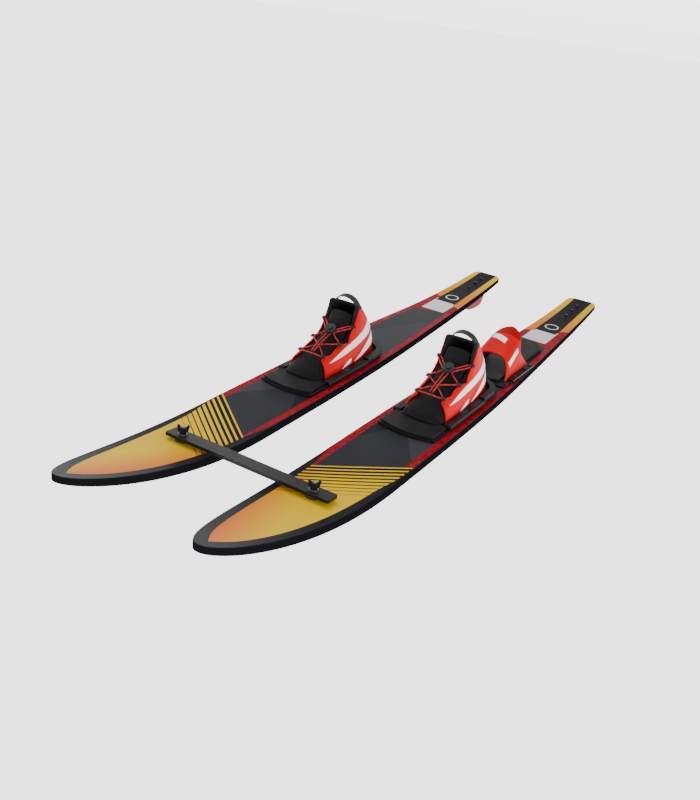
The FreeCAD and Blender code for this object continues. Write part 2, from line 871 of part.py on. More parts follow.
def make_bar():
    """The bar and its two washers. The bar belongs to neither ski, so it is placed in the middle."""
    half = size("ski_spacing") / 2
    right_end = -half - size("bar_right_end")
    left_end = half + size("bar_left_end")
    body = new_body("trainer_bar")
    blank = new_sketch(body, "bar_blank", "XY_Plane")
    add_rectangle(
        blank,
        ("- ski_spacing / 2 - bar_right_end", right_end),
        ("ski_spacing / 2 + bar_left_end", left_end),
        ("- bar_width / 2", -size("bar_width") / 2),
        ("bar_width / 2", size("bar_width") / 2),
    )
    blank_pad = pad(body, blank, "bar_thick")
    uprights = [
        f"Edge{index}"
        for index, edge in enumerate(blank_pad.Shape.Edges, start=1)
        if edge.BoundBox.ZLength > size("bar_thick") - 0.01
    ]
    rounded = round_edges(body, blank_pad, uprights, "bar_corner")
    round_edges(body, rounded, edges_at_height(rounded.Shape, size("bar_thick")), "bar_thick / 6")
    holes = new_sketch(body, "bar_holes", "XY_Plane")
    for x_sign in (1, -1):
        add_circle(holes, x_sign * half, 0, "bar_hole_radius")
    pocket(body, holes, "bar_thick", backwards=True)
    lift = Placement(Vector(0, 0, size("bar_height")), Rotation())
    body.Placement = STANCE.multiply(bar_frame()).multiply(lift)

    washers = []
    for side, x_sign in SIDES.items():
        seat = Vector(x_sign * half, 0, 0)
        disc = cylinder(f"{side}_washer_disc", "washer_radius", "washer_thick", seat)
        hole = cylinder(f"{side}_washer_hole", "bar_hole_radius", "washer_thick + 2", seat - Z_AXIS)
        washers.append(cut(f"{side}_washer", disc, hole))
    group = joined("bar_washers", washers)
    top = Placement(Vector(0, 0, size("bar_height") + size("bar_thick")), Rotation())
    group.Placement = STANCE.multiply(bar_frame()).multiply(top)


# ---------------------------------------------------------------- boots


def horseshoe(half_width, front, shoulder, rear, bow):
    """A plate's outline: a bowed front, straight sides and an elliptic heel."""
    ellipse = Part.Ellipse(*heel_ellipse(half_width, shoulder, rear))
    if rear - shoulder > half_width:
        heel = Part.ArcOfEllipse(ellipse, math.radians(-90), math.radians(90))
    else:
        heel = Part.ArcOfEllipse(ellipse, 0, math.radians(180))
    radius = arc_radius(half_width, bow)
    turn = math.degrees(math.asin(half_width / radius))
    nose = arc((0, front + radius), radius, 270 - turn, 270 + turn)
    right_side = line((half_width, front + bow), (half_width, shoulder))
    left_side = line((-half_width, shoulder), (-half_width, front + bow))
    return [nose, right_side, heel, left_side]


def heel_ellipse(half_width, shoulder, rear):
    """Major point, minor point and centre of a heel's ellipse."""
    centre = Vector(0, shoulder, 0)
    side = Vector(half_width, shoulder, 0)
    back = Vector(0, rear, 0)
    if rear - shoulder > half_width:
        return back, Vector(-half_width, shoulder, 0), centre
    return side, back, centre


def add_screw_holes(body, side, name, places, depth, height):
    holes = new_sketch(
        body, f"{side}_{name}_holes", "XY_Plane", Placement(Vector(0, 0, height), Rotation())
    )
    for x, station in places:
        add_circle(holes, x, station, "screw_radius")
    pocket(body, holes, depth)


def make_plate_and_pad(side):
    """The hard base plate on the deck and the foam pad on it."""
    plate = new_body(f"{side}_binding_plate")
    outline = new_sketch(plate, f"{side}_plate_outline", "XY_Plane")
    shoulder = 936
    add_outline(
        outline,
        horseshoe(size("plate_half_width"), size("plate_front"), shoulder, size("plate_rear"), 14),
    )
    pad(plate, outline, "plate_thick")
    add_screw_holes(
        plate, side, "plate", screw_places("right"), "plate_thick", size("plate_thick")
    )
    place(plate, side)

    footbed = new_body(f"{side}_footbed")
    lift = Placement(Vector(0, 0, size("plate_thick")), Rotation())
    front = new_sketch(footbed, f"{side}_pad_front", "XY_Plane", lift)
    wide = size("pad_front_half_width")
    narrow = size("pad_rear_half_width")
    bow = 13
    radius = arc_radius(wide, bow)
    turn = math.degrees(math.asin(wide / radius))
    nose_front = size("plate_front") + 4
    step = size("rail_front") - 1
    waist = 795
    middle = size("pad_middle_half_width")
    heel_start = 925
    nose = arc((0, nose_front + radius), radius, 270 - turn, 270 + turn)
    heel = Part.ArcOfEllipse(
        Part.Ellipse(*heel_ellipse(narrow, heel_start, size("pad_rear"))), 0, math.radians(180)
    )
    add_outline(
        front,
        [
            nose,
            line((wide, nose_front + bow), (wide, step)),
            line((wide, step), (middle, step)),
            line((middle, step), (middle, waist)),
            line((middle, waist), (narrow, waist)),
            line((narrow, waist), (narrow, heel_start)),
            heel,
            line((-narrow, heel_start), (-narrow, waist)),
            line((-narrow, waist), (-middle, waist)),
            line((-middle, waist), (-middle, step)),
            line((-middle, step), (-wide, step)),
            line((-wide, step), (-wide, nose_front + bow)),
        ],
    )
    pad(footbed, front, "pad_thick - 0.1")
    place(footbed, side)


def make_rails(side):
    """The two rails that clamp the upper's edges to the plate."""
    for name, x_sign in (("inner", -SIDES[side]), ("outer", SIDES[side])):
        rail = new_body(f"{side}_{name}_rail")
        lift = Placement(Vector(0, 0, size("plate_thick")), Rotation())
        blank = new_sketch(rail, f"{side}_{name}_rail_blank", "XY_Plane", lift)
        edges = sorted(
            [("rail_inner", x_sign * size("rail_inner")), ("rail_outer", x_sign * size("rail_outer"))],
            key=lambda item: item[1],
        )
        low, high = [(("- " if value < 0 else "") + alias, value) for alias, value in edges]
        add_rectangle(
            blank, low, high, ("rail_front", size("rail_front")), ("rail_rear", size("rail_rear"))
        )
        blank_pad = pad(rail, blank, "rail_height")
        top = size("plate_thick") + size("rail_height")
        outer_edges = [
            f"Edge{index}"
            for index, edge in enumerate(blank_pad.Shape.Edges, start=1)
            if abs(edge.BoundBox.ZMin - top) < 0.01
            and abs(abs(edge.CenterOfMass.x) - size("rail_outer")) < 0.01
        ]
        round_edges(rail, blank_pad, outer_edges, "rail_height / 2")
        places = [
            (x_sign * size("boot_screw_half_width"), station) for station in BOOT_SCREW_STATIONS
        ]
        add_screw_holes(rail, side, f"{name}_rail", places, "rail_height", top)
        bores = new_sketch(
            rail, f"{side}_{name}_rail_bores", "XY_Plane", Placement(Vector(0, 0, top), Rotation())
        )
        for x, station in places:
            add_circle(bores, x, station, "screw_head_radius")
        pocket(rail, bores, "screw_head_height + 0.5")
        place(rail, side)


def make_heel_clip(side):
    """The moulded horseshoe that holds the heel of the upper down."""
    clip = new_body(f"{side}_heel_clip")
    lift = Placement(Vector(0, 0, size("plate_thick")), Rotation())
    outline = new_sketch(clip, f"{side}_clip_outline", "XY_Plane", lift)
    inner, outer = size("rail_inner"), size("plate_half_width") - 0.5
    front, shoulder = size("clip_front"), 936
    rear_inner, rear_outer = 988, size("plate_rear") - 0.5
    outer_heel = Part.ArcOfEllipse(
        Part.Ellipse(*heel_ellipse(outer, shoulder, rear_outer)), 0, math.radians(180)
    )
    inner_heel = Part.ArcOfEllipse(
        Part.Ellipse(*heel_ellipse(inner, shoulder, rear_inner)), math.radians(-90), math.radians(90)
    )
    add_outline(
        outline,
        [
            line((inner, front), (outer, front)),
            line((outer, front), (outer, shoulder)),
            outer_heel,
            line((-outer, shoulder), (-outer, front)),
            line((-outer, front), (-inner, front)),
            line((-inner, front), (-inner, shoulder)),
            inner_heel,
            line((inner, shoulder), (inner, front)),
        ],
    )
    pad(clip, outline, "clip_height")
    place(clip, side)


def make_soft_boot(side):
    """Upper, liner, toe cap and tongue, as thin shells inside one another."""
    inside_boot = Vector(0, 850, 30)
    thick = size("upper_thick")
    gap = size("lining_gap")
    floor = size("plate_thick")
    above_plate = Part.makeBox(200, 300, 200, Vector(-100, 700, floor))
    upper = shell(whole_horseshoe(UPPER_RIBS), inside_boot, 0, thick).common(above_plate)
    place(solid_feature(f"{side}_upper", upper), side)

    raised = []
    for index, rib in enumerate(UPPER_RIBS):
        top, below = Vector(*rib[-1]), Vector(*rib[-2])
        rise = size("liner_rise") if index >= FIRST_RAISED_RIB else 0
        lifted = top + (top - below).normalize() * rise
        raised.append(rib[:-1] + [tuple(lifted)])
    liner_ribs = whole_horseshoe(raised)
    inner = thick + gap + size("liner_thick")
    behind_cap = Part.makeBox(200, 300, 200, Vector(-100, LINER_FRONT, floor))
    liner = shell(liner_ribs, inside_boot, thick + gap, inner).common(behind_cap)
    place(solid_feature(f"{side}_liner", liner), side)

    under_cap = Vector(0, 760, 5)
    arches = [whole_arch(arch) for arch in TOE_CAP_ARCHES]
    cap = shell(arches, under_cap, 0, size("toe_cap_thick"))
    above_pad = Part.makeBox(200, 200, 50, Vector(-100, 690, size("plate_thick") + size("pad_thick")))
    place(solid_feature(f"{side}_toe_cap", cap.common(above_pad)), side)

    under_tongue = Vector(0, 850, 20)
    arches = [whole_arch(arch) for arch in TONGUE_ARCHES]
    tongue = shell(arches, under_tongue, 0, size("tongue_thick"))
    place(solid_feature(f"{side}_tongue", tongue), side)


def make_heel_loop(side):
    """The webbing arch over the back of the opening, to pull the boot on by."""
    loop = new_body(f"{side}_heel_loop")
    frame = Placement(Vector(0, 128, -884), Rotation(X_AXIS, 12))
    arch = new_sketch(loop, f"{side}_loop_arch", "XZ_Plane", frame)
    span, rise = size("heel_loop_half_span"), size("heel_loop_rise")
    thick = size("heel_loop_thick")
    outer = Part.ArcOfEllipse(
        Part.Ellipse(Vector(0, rise, 0), Vector(-span, 0, 0), Vector(0, 0, 0)),
        math.radians(-90),
        math.radians(90),
    )
    inner = Part.ArcOfEllipse(
        Part.Ellipse(Vector(0, rise - thick, 0), Vector(thick - span, 0, 0), Vector(0, 0, 0)),
        math.radians(-90),
        math.radians(90),
    )
    add_outline(
        arch,
        [
            outer,
            Part.LineSegment(outer.EndPoint, inner.EndPoint),
            inner,
            Part.LineSegment(inner.StartPoint, outer.StartPoint),
        ],
    )
    pad(loop, arch, "heel_loop_width", both_sides=True)
    place(loop, side)


def make_lace(side):
    first = LACE_HALF + LACE_CROSSED_HALF[:-1]
    second = []
    for x, station, height in first[::-1]:
        second.append((-x, station, height))
    crossing = len(LACE_HALF) - 1
    route = first + [LACE_CROSSED_HALF[-1]] + second
    raised = [Vector(*point) for point in route]
    raised[crossing].z += LACE_CROSSING_RISE
    raised[len(route) - 1 - crossing].z -= LACE_CROSSING_RISE
    tube = cord(raised, size("lace_radius"), f"{side} lace")
    place(solid_feature(f"{side}_lace", tube), side)

    rings = []
    for index, ((x, station, height), slope) in enumerate(zip(LACE_RINGS, LACE_RING_SLOPES)):
        for x_sign in (1, -1):
            ring = doc.addObject("Part::Torus", f"{side}_lace_ring_{index}")
            bind(ring, "Radius1", "lace_ring_radius")
            bind(ring, "Radius2", "lace_ring_wire")
            centre = Vector(x_sign * x, station, height)
            along = Vector(0, math.cos(math.radians(slope)), math.sin(math.radians(slope)))
            ring.Placement = Placement(centre, Rotation(Z_AXIS, along))
            rings.append(ring)
    place(joined(f"{side}_lace_loops", rings), side)


def lock_frame():
    """The lace lock's frame: z out of its face, square to the instep."""
    return Placement(LOCK_CENTRE, Rotation(X_AXIS, size("lock_slope")))


def make_lock(side):
    frame = lock_frame()
    half = size("lock_thick") / 2
    floor = half - size("button_depth") - size("button_travel") - size("spring_solid")
    outer = cylinder(f"{side}_lock_case", "lock_radius", "lock_thick", Vector(0, 0, -half))
    well_low = Vector(0, 0, floor)
    well = cylinder(f"{side}_lock_well", "button_radius + button_gap", "lock_thick", well_low)
    case = cut(f"{side}_lace_lock", outer, well)
    place(case, side, frame)

    button = cylinder(
        f"{side}_lock_button",
        "button_radius",
        "button_depth + button_proud",
        Vector(0, 0, half - size("button_depth")),
    )
    button.Label = f"{side}_lock_button"
    place(button, side, frame.multiply(button.Placement))

    wire, coil = size("spring_wire"), size("spring_coil")
    height = half - size("button_depth") - floor - 2 * wire - 0.2
    route = []
    for step in range(SPRING_TURNS * 8 + 1):
        angle = math.radians(45 * step)
        rise = height * step / (SPRING_TURNS * 8)
        route.append(Vector(coil * math.cos(angle), coil * math.sin(angle), rise))
    spring = cord(route, wire, f"{side} lock spring")
    seat = Placement(Vector(0, 0, floor + wire + 0.1), Rotation())
    place(solid_feature(f"{side}_lock_spring", spring), side, frame.multiply(seat))


# ---------------------------------------------------------------- rear toe strap


def make_toe_strap():
    side = "left"
    plate = new_body("toe_strap_plate")
    outline = new_sketch(plate, "strap_plate_outline", "XY_Plane")
    wide, narrow = size("strap_plate_half_width"), size("strap_pad_half_width")
    front, waist, rear = size("strap_plate_front"), size("strap_plate_rear"), size("strap_pad_rear")
    shoulder = rear - narrow
    tail_end = arc((0, shoulder), narrow, 0, 180)
    add_outline(
        outline,
        [
            line((-wide, front), (wide, front)),
            line((wide, front), (wide, waist)),
            line((wide, waist), (narrow, waist)),
            line((narrow, waist), (narrow, shoulder)),
            tail_end,
            line((-narrow, shoulder), (-narrow, waist)),
            line((-narrow, waist), (-wide, waist)),
            line((-wide, waist), (-wide, front)),
        ],
    )
    pad(plate, outline, "strap_plate_thick")
    plate_top = size("strap_plate_thick")
    places = strap_screw_places()
    add_screw_holes(plate, side, "strap_plate", places, "strap_plate_thick", plate_top)
    place(plate, side)

    footpad = new_body("toe_strap_footpad")
    lift = Placement(Vector(0, 0, plate_top), Rotation())
    top = new_sketch(footpad, "strap_pad_outline", "XY_Plane", lift)
    pad_front = size("strap_pad_front")
    inset = narrow - 3
    radius = arc_radius(inset, 8)
    turn = math.degrees(math.asin(inset / radius))
    add_outline(
        top,
        [
            arc((0, pad_front + radius), radius, 270 - turn, 270 + turn),
            line((inset, pad_front + 8), (inset, shoulder)),
            arc((0, shoulder), inset, 0, 180),
            line((-inset, shoulder), (-inset, pad_front + 8)),
        ],
    )
    pad(footpad, top, "strap_pad_thick")
    place(footpad, side)

    for name, x_sign in (("inner", -1), ("outer", 1)):
        frame = new_body(f"toe_strap_{name}_frame")
        blank = new_sketch(frame, f"strap_{name}_frame_blank", "XY_Plane", lift)
        edges = sorted(
            [
                ("strap_frame_inner", x_sign * size("strap_frame_inner")),
                ("strap_frame_outer", x_sign * size("strap_frame_outer")),
            ],
            key=lambda item: item[1],
        )
        low, high = [(("- " if value < 0 else "") + alias, value) for alias, value in edges]
        add_rectangle(
            blank,
            low,
            high,
            ("strap_frame_front", size("strap_frame_front")),
            ("strap_frame_rear", size("strap_frame_rear")),
        )
        pad(frame, blank, "strap_frame_thick")
        places = [
            (x_sign * size("strap_screw_half_width"), station) for station in STRAP_SCREW_STATIONS
        ]
        frame_top = plate_top + size("strap_frame_thick")
        add_screw_holes(frame, side, f"strap_{name}_frame", places, "strap_frame_thick", frame_top)
        place(frame, side)

    inside = Vector(0, 1110, 5)
    arches = [whole_arch(arch) for arch in STRAP_ARCHES]
    thick = size("strap_thick")
    above_plate = Part.makeBox(200, 300, 200, Vector(-100, 1000, plate_top))
    upper = shell(arches, inside, 0, thick).common(above_plate)
    place(solid_feature("toe_strap_upper", upper), side)
    inner = thick + size("lining_gap")
    lining = shell(arches, inside, inner, inner + size("strap_lining_thick"))
    place(solid_feature("toe_strap_lining", lining.common(above_plate)), side)


# ---------------------------------------------------------------- screws and inserts


def make_screw(name, x, station, head_height):
    """A pan-head screw whose head sits at head_height over the deck."""
    tip = Vector(x, station, -size("screw_reach"))
    top = Vector(x, station, head_height)
    shank = cylinder(name + "_shank", "screw_radius", f"screw_reach + {head_height:g}", tip)
    head = cylinder(name + "_head", "screw_head_radius", "screw_head_height", top)
    return fused(name, [shank, head])


def make_screws(side):
    seat = size("plate_thick") + size("rail_height") - size("screw_head_height") - 0.5
    screws = [
        make_screw(f"{side}_boot_screw_{index}", x, station, seat)
        for index, (x, station) in enumerate(screw_places("right"))
    ]
    place(joined(f"{side}_binding_screws", screws), side)
    inserts = []
    for index, (x, station) in enumerate(screw_places(side)):
        name = f"{side}_insert_{index}"
        low = Vector(x, station, -size("insert_depth"))
        sleeve = cylinder(name + "_sleeve", "insert_radius", "insert_depth", low)
        bore = cylinder(name + "_bore", "screw_radius", "insert_depth + 2", low - Z_AXIS)
        inserts.append(cut(name, sleeve, bore))
    place(joined(f"{side}_inserts", inserts), side)


def make_strap_screws():
    screws = []
    for index, (x, station) in enumerate(strap_screw_places()):
        seat = size("strap_plate_thick")
        if station != STRAP_FRONT_SCREW_STATION:
            seat += size("strap_frame_thick")
        screws.append(make_screw(f"strap_screw_{index}", x, station, seat))
    place(joined("toe_strap_screws", screws), "left")


for side in SIDES:
    make_ski(side)
    make_fin(side)
    make_fin_screws(side)
    make_bar_fixings(side)
    make_wing_nut(side)
    make_plate_and_pad(side)
    make_rails(side)
    make_heel_clip(side)
    make_soft_boot(side)
    make_heel_loop(side)
    make_lace(side)
    make_lock(side)
    make_screws(side)
make_bar()
make_toe_strap()
make_strap_screws()
doc.recompute()

# ---------------------------------------------------------------- checks and files

for item in doc.Objects:
    if "Invalid" in item.State or "Error" in item.State:
        raise RuntimeError(f"{item.Label} failed: {item.State}")

used = {
    child.Name
    for item in doc.Objects
    for child in item.OutList
    if not item.isDerivedFrom("App::Origin")
}
sub_parts = [
    item
    for item in doc.Objects
    if hasattr(item, "Shape")
    and item.Name not in used
    and item.TypeId not in ("App::Plane", "App::Line", "App::Point")
]
for item in sub_parts:
    shape = item.Shape
    if shape.isNull() or not shape.isValid() or not shape.Solids:
        raise RuntimeError(f"{item.Label} has no valid solid")
    shape.exportStep(f"parts/{item.Label}.step")
print(len(sub_parts), "sub-parts")

print("tilt", math.degrees(tilt), "stance", STANCE.Base)
for side in SIDES:
    pivot = STANCE.multiply(side_shift(side)).multiply(bar_frame())
    lock = STANCE.multiply(side_shift(side)).multiply(lock_frame())
    print(side, "stud", pivot.Base, pivot.Rotation.multVec(Z_AXIS))
    print(side, "lock", lock.Base, lock.Rotation.multVec(Z_AXIS))
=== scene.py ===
import json
import math

import bmesh
import bpy
import numpy as np
from mathutils import Matrix, Vector


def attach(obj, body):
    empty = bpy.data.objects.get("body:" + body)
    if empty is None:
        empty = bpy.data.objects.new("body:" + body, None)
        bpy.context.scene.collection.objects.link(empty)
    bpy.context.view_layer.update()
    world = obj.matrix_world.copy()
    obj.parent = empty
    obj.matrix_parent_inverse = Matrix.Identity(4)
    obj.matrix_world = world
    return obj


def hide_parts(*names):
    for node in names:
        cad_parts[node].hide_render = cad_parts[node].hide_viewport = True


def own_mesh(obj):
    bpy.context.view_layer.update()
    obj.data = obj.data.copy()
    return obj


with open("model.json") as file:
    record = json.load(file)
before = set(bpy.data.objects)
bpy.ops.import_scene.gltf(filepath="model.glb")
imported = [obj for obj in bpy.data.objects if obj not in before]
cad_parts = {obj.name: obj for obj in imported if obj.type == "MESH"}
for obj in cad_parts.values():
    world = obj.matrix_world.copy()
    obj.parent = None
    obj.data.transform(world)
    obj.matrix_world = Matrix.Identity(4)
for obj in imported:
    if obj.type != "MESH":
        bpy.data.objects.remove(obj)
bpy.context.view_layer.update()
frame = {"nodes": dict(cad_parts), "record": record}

# A pair of combination water skis with boots and a trainer bar. Shapes are drawn in the ski
# frame, in millimetres: x across the ski, s along the deck from the tip, z up from the deck.
# ski_matrix() takes them to the row frame, in metres.

TILT = 2.589527572
STANCE_Y = -0.848337335
STANCE_Z = -0.001611494
HALF_SPACING = 0.1508
SIDES = {"left": 1, "right": -1}
SKI_LENGTH = 1.702
ROUND_TIP = 0.46


def stance():
    """From the middle of the pair's tips, along the tilted decks, to the row frame."""
    lift = Matrix.Translation((0, STANCE_Y, STANCE_Z))
    return lift @ Matrix.Rotation(math.radians(TILT), 4, "X")


def ski_matrix(side):
    """From the ski frame in millimetres to the row frame in metres."""
    across = Matrix.Translation((SIDES[side] * HALF_SPACING, 0, 0))
    return stance() @ across @ Matrix.Scale(0.001, 4)


# ------------------------------------------------------------------ materials


class Paint:
    """A node material, with short names for the nodes it needs."""

    def __init__(self, name):
        self.material = bpy.data.materials.new(name)
        self.material.use_nodes = True
        self.tree = self.material.node_tree
        self.tree.nodes.clear()
        self.surface = self.add("ShaderNodeBsdfPrincipled")
        output = self.add("ShaderNodeOutputMaterial")
        self.tree.links.new(self.surface.outputs[0], output.inputs["Surface"])
        self.place = self.add("ShaderNodeTexCoord").outputs["Object"]
        self.heights = []

    def add(self, kind, **settings):
        node = self.tree.nodes.new(kind)
        for key, value in settings.items():
            setattr(node, key, value)
        return node

    def feed(self, socket, value):
        """Links a socket's value, or sets a constant."""
        if isinstance(value, bpy.types.NodeSocket):
            self.tree.links.new(value, socket)
        elif isinstance(value, (tuple, list)) and len(value) == 3 and socket.type == "RGBA":
            socket.default_value = (*value, 1)
        else:
            socket.default_value = value

    def math(self, operation, *values):
        node = self.add("ShaderNodeMath", operation=operation)
        for socket, value in zip(node.inputs, values):
            self.feed(socket, value)
        return node.outputs[0]

    def sum(self, a, b):
        return self.math("ADD", a, b)

    def less(self, a, b):
        return self.math("SUBTRACT", a, b)

    def times(self, a, b):
        return self.math("MULTIPLY", a, b)

    def step(self, value, edge, width):
        """0 below the edge and 1 above it, over a width."""
        node = self.add("ShaderNodeMapRange", interpolation_type="SMOOTHSTEP")
        low, high = self.less(edge, width / 2), self.sum(edge, width / 2)
        for name, item in (("Value", value), ("From Min", low), ("From Max", high)):
            self.feed(node.inputs[name], item)
        return node.outputs[0]

    def between(self, value, low, high, width):
        below = self.less(1.0, self.step(value, high, width))
        return self.times(self.step(value, low, width), below)

    def ramp(self, value, low, high):
        """0 to 1 as the value goes from low to high."""
        node = self.add("ShaderNodeMapRange", clamp=True)
        for name, item in (("Value", value), ("From Min", low), ("From Max", high)):
            self.feed(node.inputs[name], item)
        return node.outputs[0]

    def mix(self, factor, a, b):
        node = self.add("ShaderNodeMix", data_type="RGBA")
        colours = [item for item in node.inputs if item.type == "RGBA"]
        self.feed(node.inputs[0], factor)
        self.feed(colours[0], a)
        self.feed(colours[1], b)
        return next(item for item in node.outputs if item.type == "RGBA")

    def curve(self, value, points, low, high):
        """A smooth curve through (x, y) points, with x and y both scaled between low and high."""
        node = self.add("ShaderNodeFloatCurve")
        start, end = points[0][0], points[-1][0]
        line = node.mapping.curves[0]
        for index, (x, y) in enumerate(points):
            spot = ((x - start) / (end - start), (y - low) / (high - low))
            if index in (0, len(points) - 1):
                line.points[0 if index == 0 else -1].location = spot
            else:
                line.points.new(*spot)
        node.mapping.update()
        self.feed(node.inputs["Value"], self.ramp(value, start, end))
        return self.sum(self.times(node.outputs[0], high - low), low)

    def split(self, vector):
        node = self.add("ShaderNodeSeparateXYZ")
        self.tree.links.new(vector, node.inputs[0])
        return node.outputs[0], node.outputs[1], node.outputs[2]

    def moved(self, vector, scale=(1, 1, 1), turn=(0, 0, 0)):
        node = self.add("ShaderNodeMapping")
        self.tree.links.new(vector, node.inputs["Vector"])
        node.inputs["Scale"].default_value = scale
        node.inputs["Rotation"].default_value = turn
        return node.outputs[0]

    def noise(self, scale, detail=3.0, roughness=0.55, vector=None):
        node = self.add("ShaderNodeTexNoise")
        self.tree.links.new(vector or self.place, node.inputs["Vector"])
        node.inputs["Scale"].default_value = scale
        node.inputs["Detail"].default_value = detail
        node.inputs["Roughness"].default_value = roughness
        return node.outputs[0]

    def cells(self, scale):
        node = self.add("ShaderNodeTexVoronoi", feature="F1")
        self.tree.links.new(self.place, node.inputs["Vector"])
        node.inputs["Scale"].default_value = scale
        return node.outputs["Distance"]

    def wave(self, value, period):
        """A wave from 0 to 1 along a value."""
        turn = self.times(value, 2 * math.pi / period)
        return self.sum(self.times(self.math("SINE", turn), 0.5), 0.5)

    def set(self, **inputs):
        names = {
            "color": "Base Color",
            "roughness": "Roughness",
            "metallic": "Metallic",
            "sheen": "Sheen Weight",
            "sheen_roughness": "Sheen Roughness",
            "specular": "Specular IOR Level",
        }
        for key, value in inputs.items():
            self.feed(self.surface.inputs[names[key]], value)
        return self

    def relief(self, height, distance, strength):
        """Adds a bump of a height given from 0 to 1, over the bumps already there."""
        node = self.add("ShaderNodeBump")
        node.inputs["Strength"].default_value = strength
        node.inputs["Distance"].default_value = distance
        self.feed(node.inputs["Height"], height)
        if self.heights:
            self.tree.links.new(self.heights[-1], node.inputs["Normal"])
        self.heights.append(node.outputs["Normal"])
        self.feed(self.surface.inputs["Normal"], node.outputs["Normal"])
        return self

    def ski_place(self, side):
        """Outward distance from the ski's centreline, station and height, in metres."""
        node = self.add("ShaderNodeVectorRotate", rotation_type="X_AXIS")
        self.tree.links.new(self.place, node.inputs["Vector"])
        node.inputs["Center"].default_value = (0, STANCE_Y, STANCE_Z)
        node.inputs["Angle"].default_value = -math.radians(TILT)
        x, y, z = self.split(node.outputs[0])
        across = self.less(self.times(x, float(SIDES[side])), HALF_SPACING)
        return across, self.less(y, STANCE_Y), self.less(z, STANCE_Z)


BLACK = (0.003, 0.003, 0.004)
BLACK_WORN = (0.016, 0.016, 0.018)
RIM = (0.010, 0.011, 0.014)
PANEL_DARK = (0.010, 0.0105, 0.014)
PANEL_LIGHT = (0.056, 0.058, 0.068)
CRIMSON = (0.34, 0.003, 0.012)
CRIMSON_DEEP = (0.19, 0.002, 0.007)
CRIMSON_PALE = (0.55, 0.060, 0.075)
YELLOW = (0.80, 0.50, 0.0)
ORANGE = (0.70, 0.14, 0.008)
TAIL_YELLOW = (0.74, 0.46, 0.006)
TAIL_ORANGE = (0.70, 0.20, 0.018)
RED = (0.62, 0.0, 0.003)
RED_DEEP = (0.26, 0.0, 0.002)
WHITE = (0.95, 0.95, 0.95)

# The deck's print, in metres: (station, width) points, and places along and across the ski.
SIDE_CUT = [
    (ROUND_TIP, 0.085),
    (0.80, 0.0832),
    (1.00, 0.0772),
    (1.20, 0.0655),
    (1.40, 0.0532),
    (1.60, 0.0452),
    (SKI_LENGTH, 0.0418),
]
RIM_WIDTHS = [
    (0.0, 0.034),
    (0.03, 0.027),
    (0.10, 0.0195),
    (0.40, 0.0150),
    (0.52, 0.0035),
    (1.0, 0.0014),
    (SKI_LENGTH, 0.001),
]
BAND_WIDTHS = [(0.42, 0.019), (0.9, 0.0155), (1.45, 0.0145)]
STRIP_WIDTHS = [(1.40, 0.029), (1.55, 0.0245), (SKI_LENGTH, 0.0235)]
STRIP_START = 1.418
BAR_PITCH = 0.0152
BAR_COUNT = 9
LABEL_STATIONS = (1.338, 1.432)
LABEL_ACROSS = (-0.034, 0.031)
LABEL_GREY = (0.70, 0.70, 0.73)
ROUNDEL_STATION = 1.462
ROUNDEL_RADII = (0.0155, 0.0185)
BASE_LINES = (0.030, 0.036)
LINE = 0.0006


def edge_distance(paint, across, station):
    """Distance in from the edge of the ski, in metres."""
    tip = paint.math("MAXIMUM", paint.less(1.0, paint.times(station, 1 / ROUND_TIP)), 0.0)
    round_part = paint.math("SQRT", paint.less(1.0, paint.times(tip, tip)))
    width = paint.times(paint.curve(station, SIDE_CUT, 0.0, 0.1), round_part)
    return paint.less(width, paint.math("ABSOLUTE", across))


def slanted(paint, across, station, inner_station, outer_station, half_width):
    """How far a place lies behind a slanted line across the ski, in metres."""
    slope = (outer_station - inner_station) / (2 * half_width)
    middle = (outer_station + inner_station) / 2
    return paint.less(station, paint.sum(paint.times(across, slope), middle))


def front_colour(paint, across, station):
    """Yellow on the outer side, orange on the inner side and at the very tip."""
    lean = paint.less(across, paint.times(paint.less(0.16, station), 0.33))
    warm = paint.ramp(lean, -0.050, 0.036)
    return paint.mix(warm, ORANGE, YELLOW)


def deck_bars(paint, across, station):
    """The slanted bars behind the front panel: black lines that thicken to the rear."""
    behind = slanted(paint, across, station, 0.415, 0.530, 0.070)
    spread = paint.times(paint.sum(behind, BAR_COUNT * BAR_PITCH), 1 / BAR_PITCH)
    phase = paint.math("FRACT", spread)
    share = paint.sum(paint.times(spread, 0.066), 0.10)
    gap = paint.less(1.0, paint.step(phase, share, 0.06))
    return behind, paint.times(gap, paint.step(spread, 0.0, 0.02))


def facets(paint, across, station):
    """Large flat facets, a little lighter or darker than each other."""
    first = paint.step(paint.sum(station, paint.times(across, 1.5)), 0.66, 0.002)
    second = paint.step(paint.less(station, paint.times(across, 2.1)), 0.72, 0.002)
    third = paint.step(paint.less(station, paint.times(across, 1.2)), 1.02, 0.002)
    fourth = paint.step(paint.sum(station, paint.times(across, 1.9)), 1.17, 0.002)
    tone = paint.sum(paint.times(first, 0.55), paint.times(second, -0.38))
    return paint.sum(paint.sum(tone, paint.times(third, 0.42)), paint.times(fourth, -0.3))


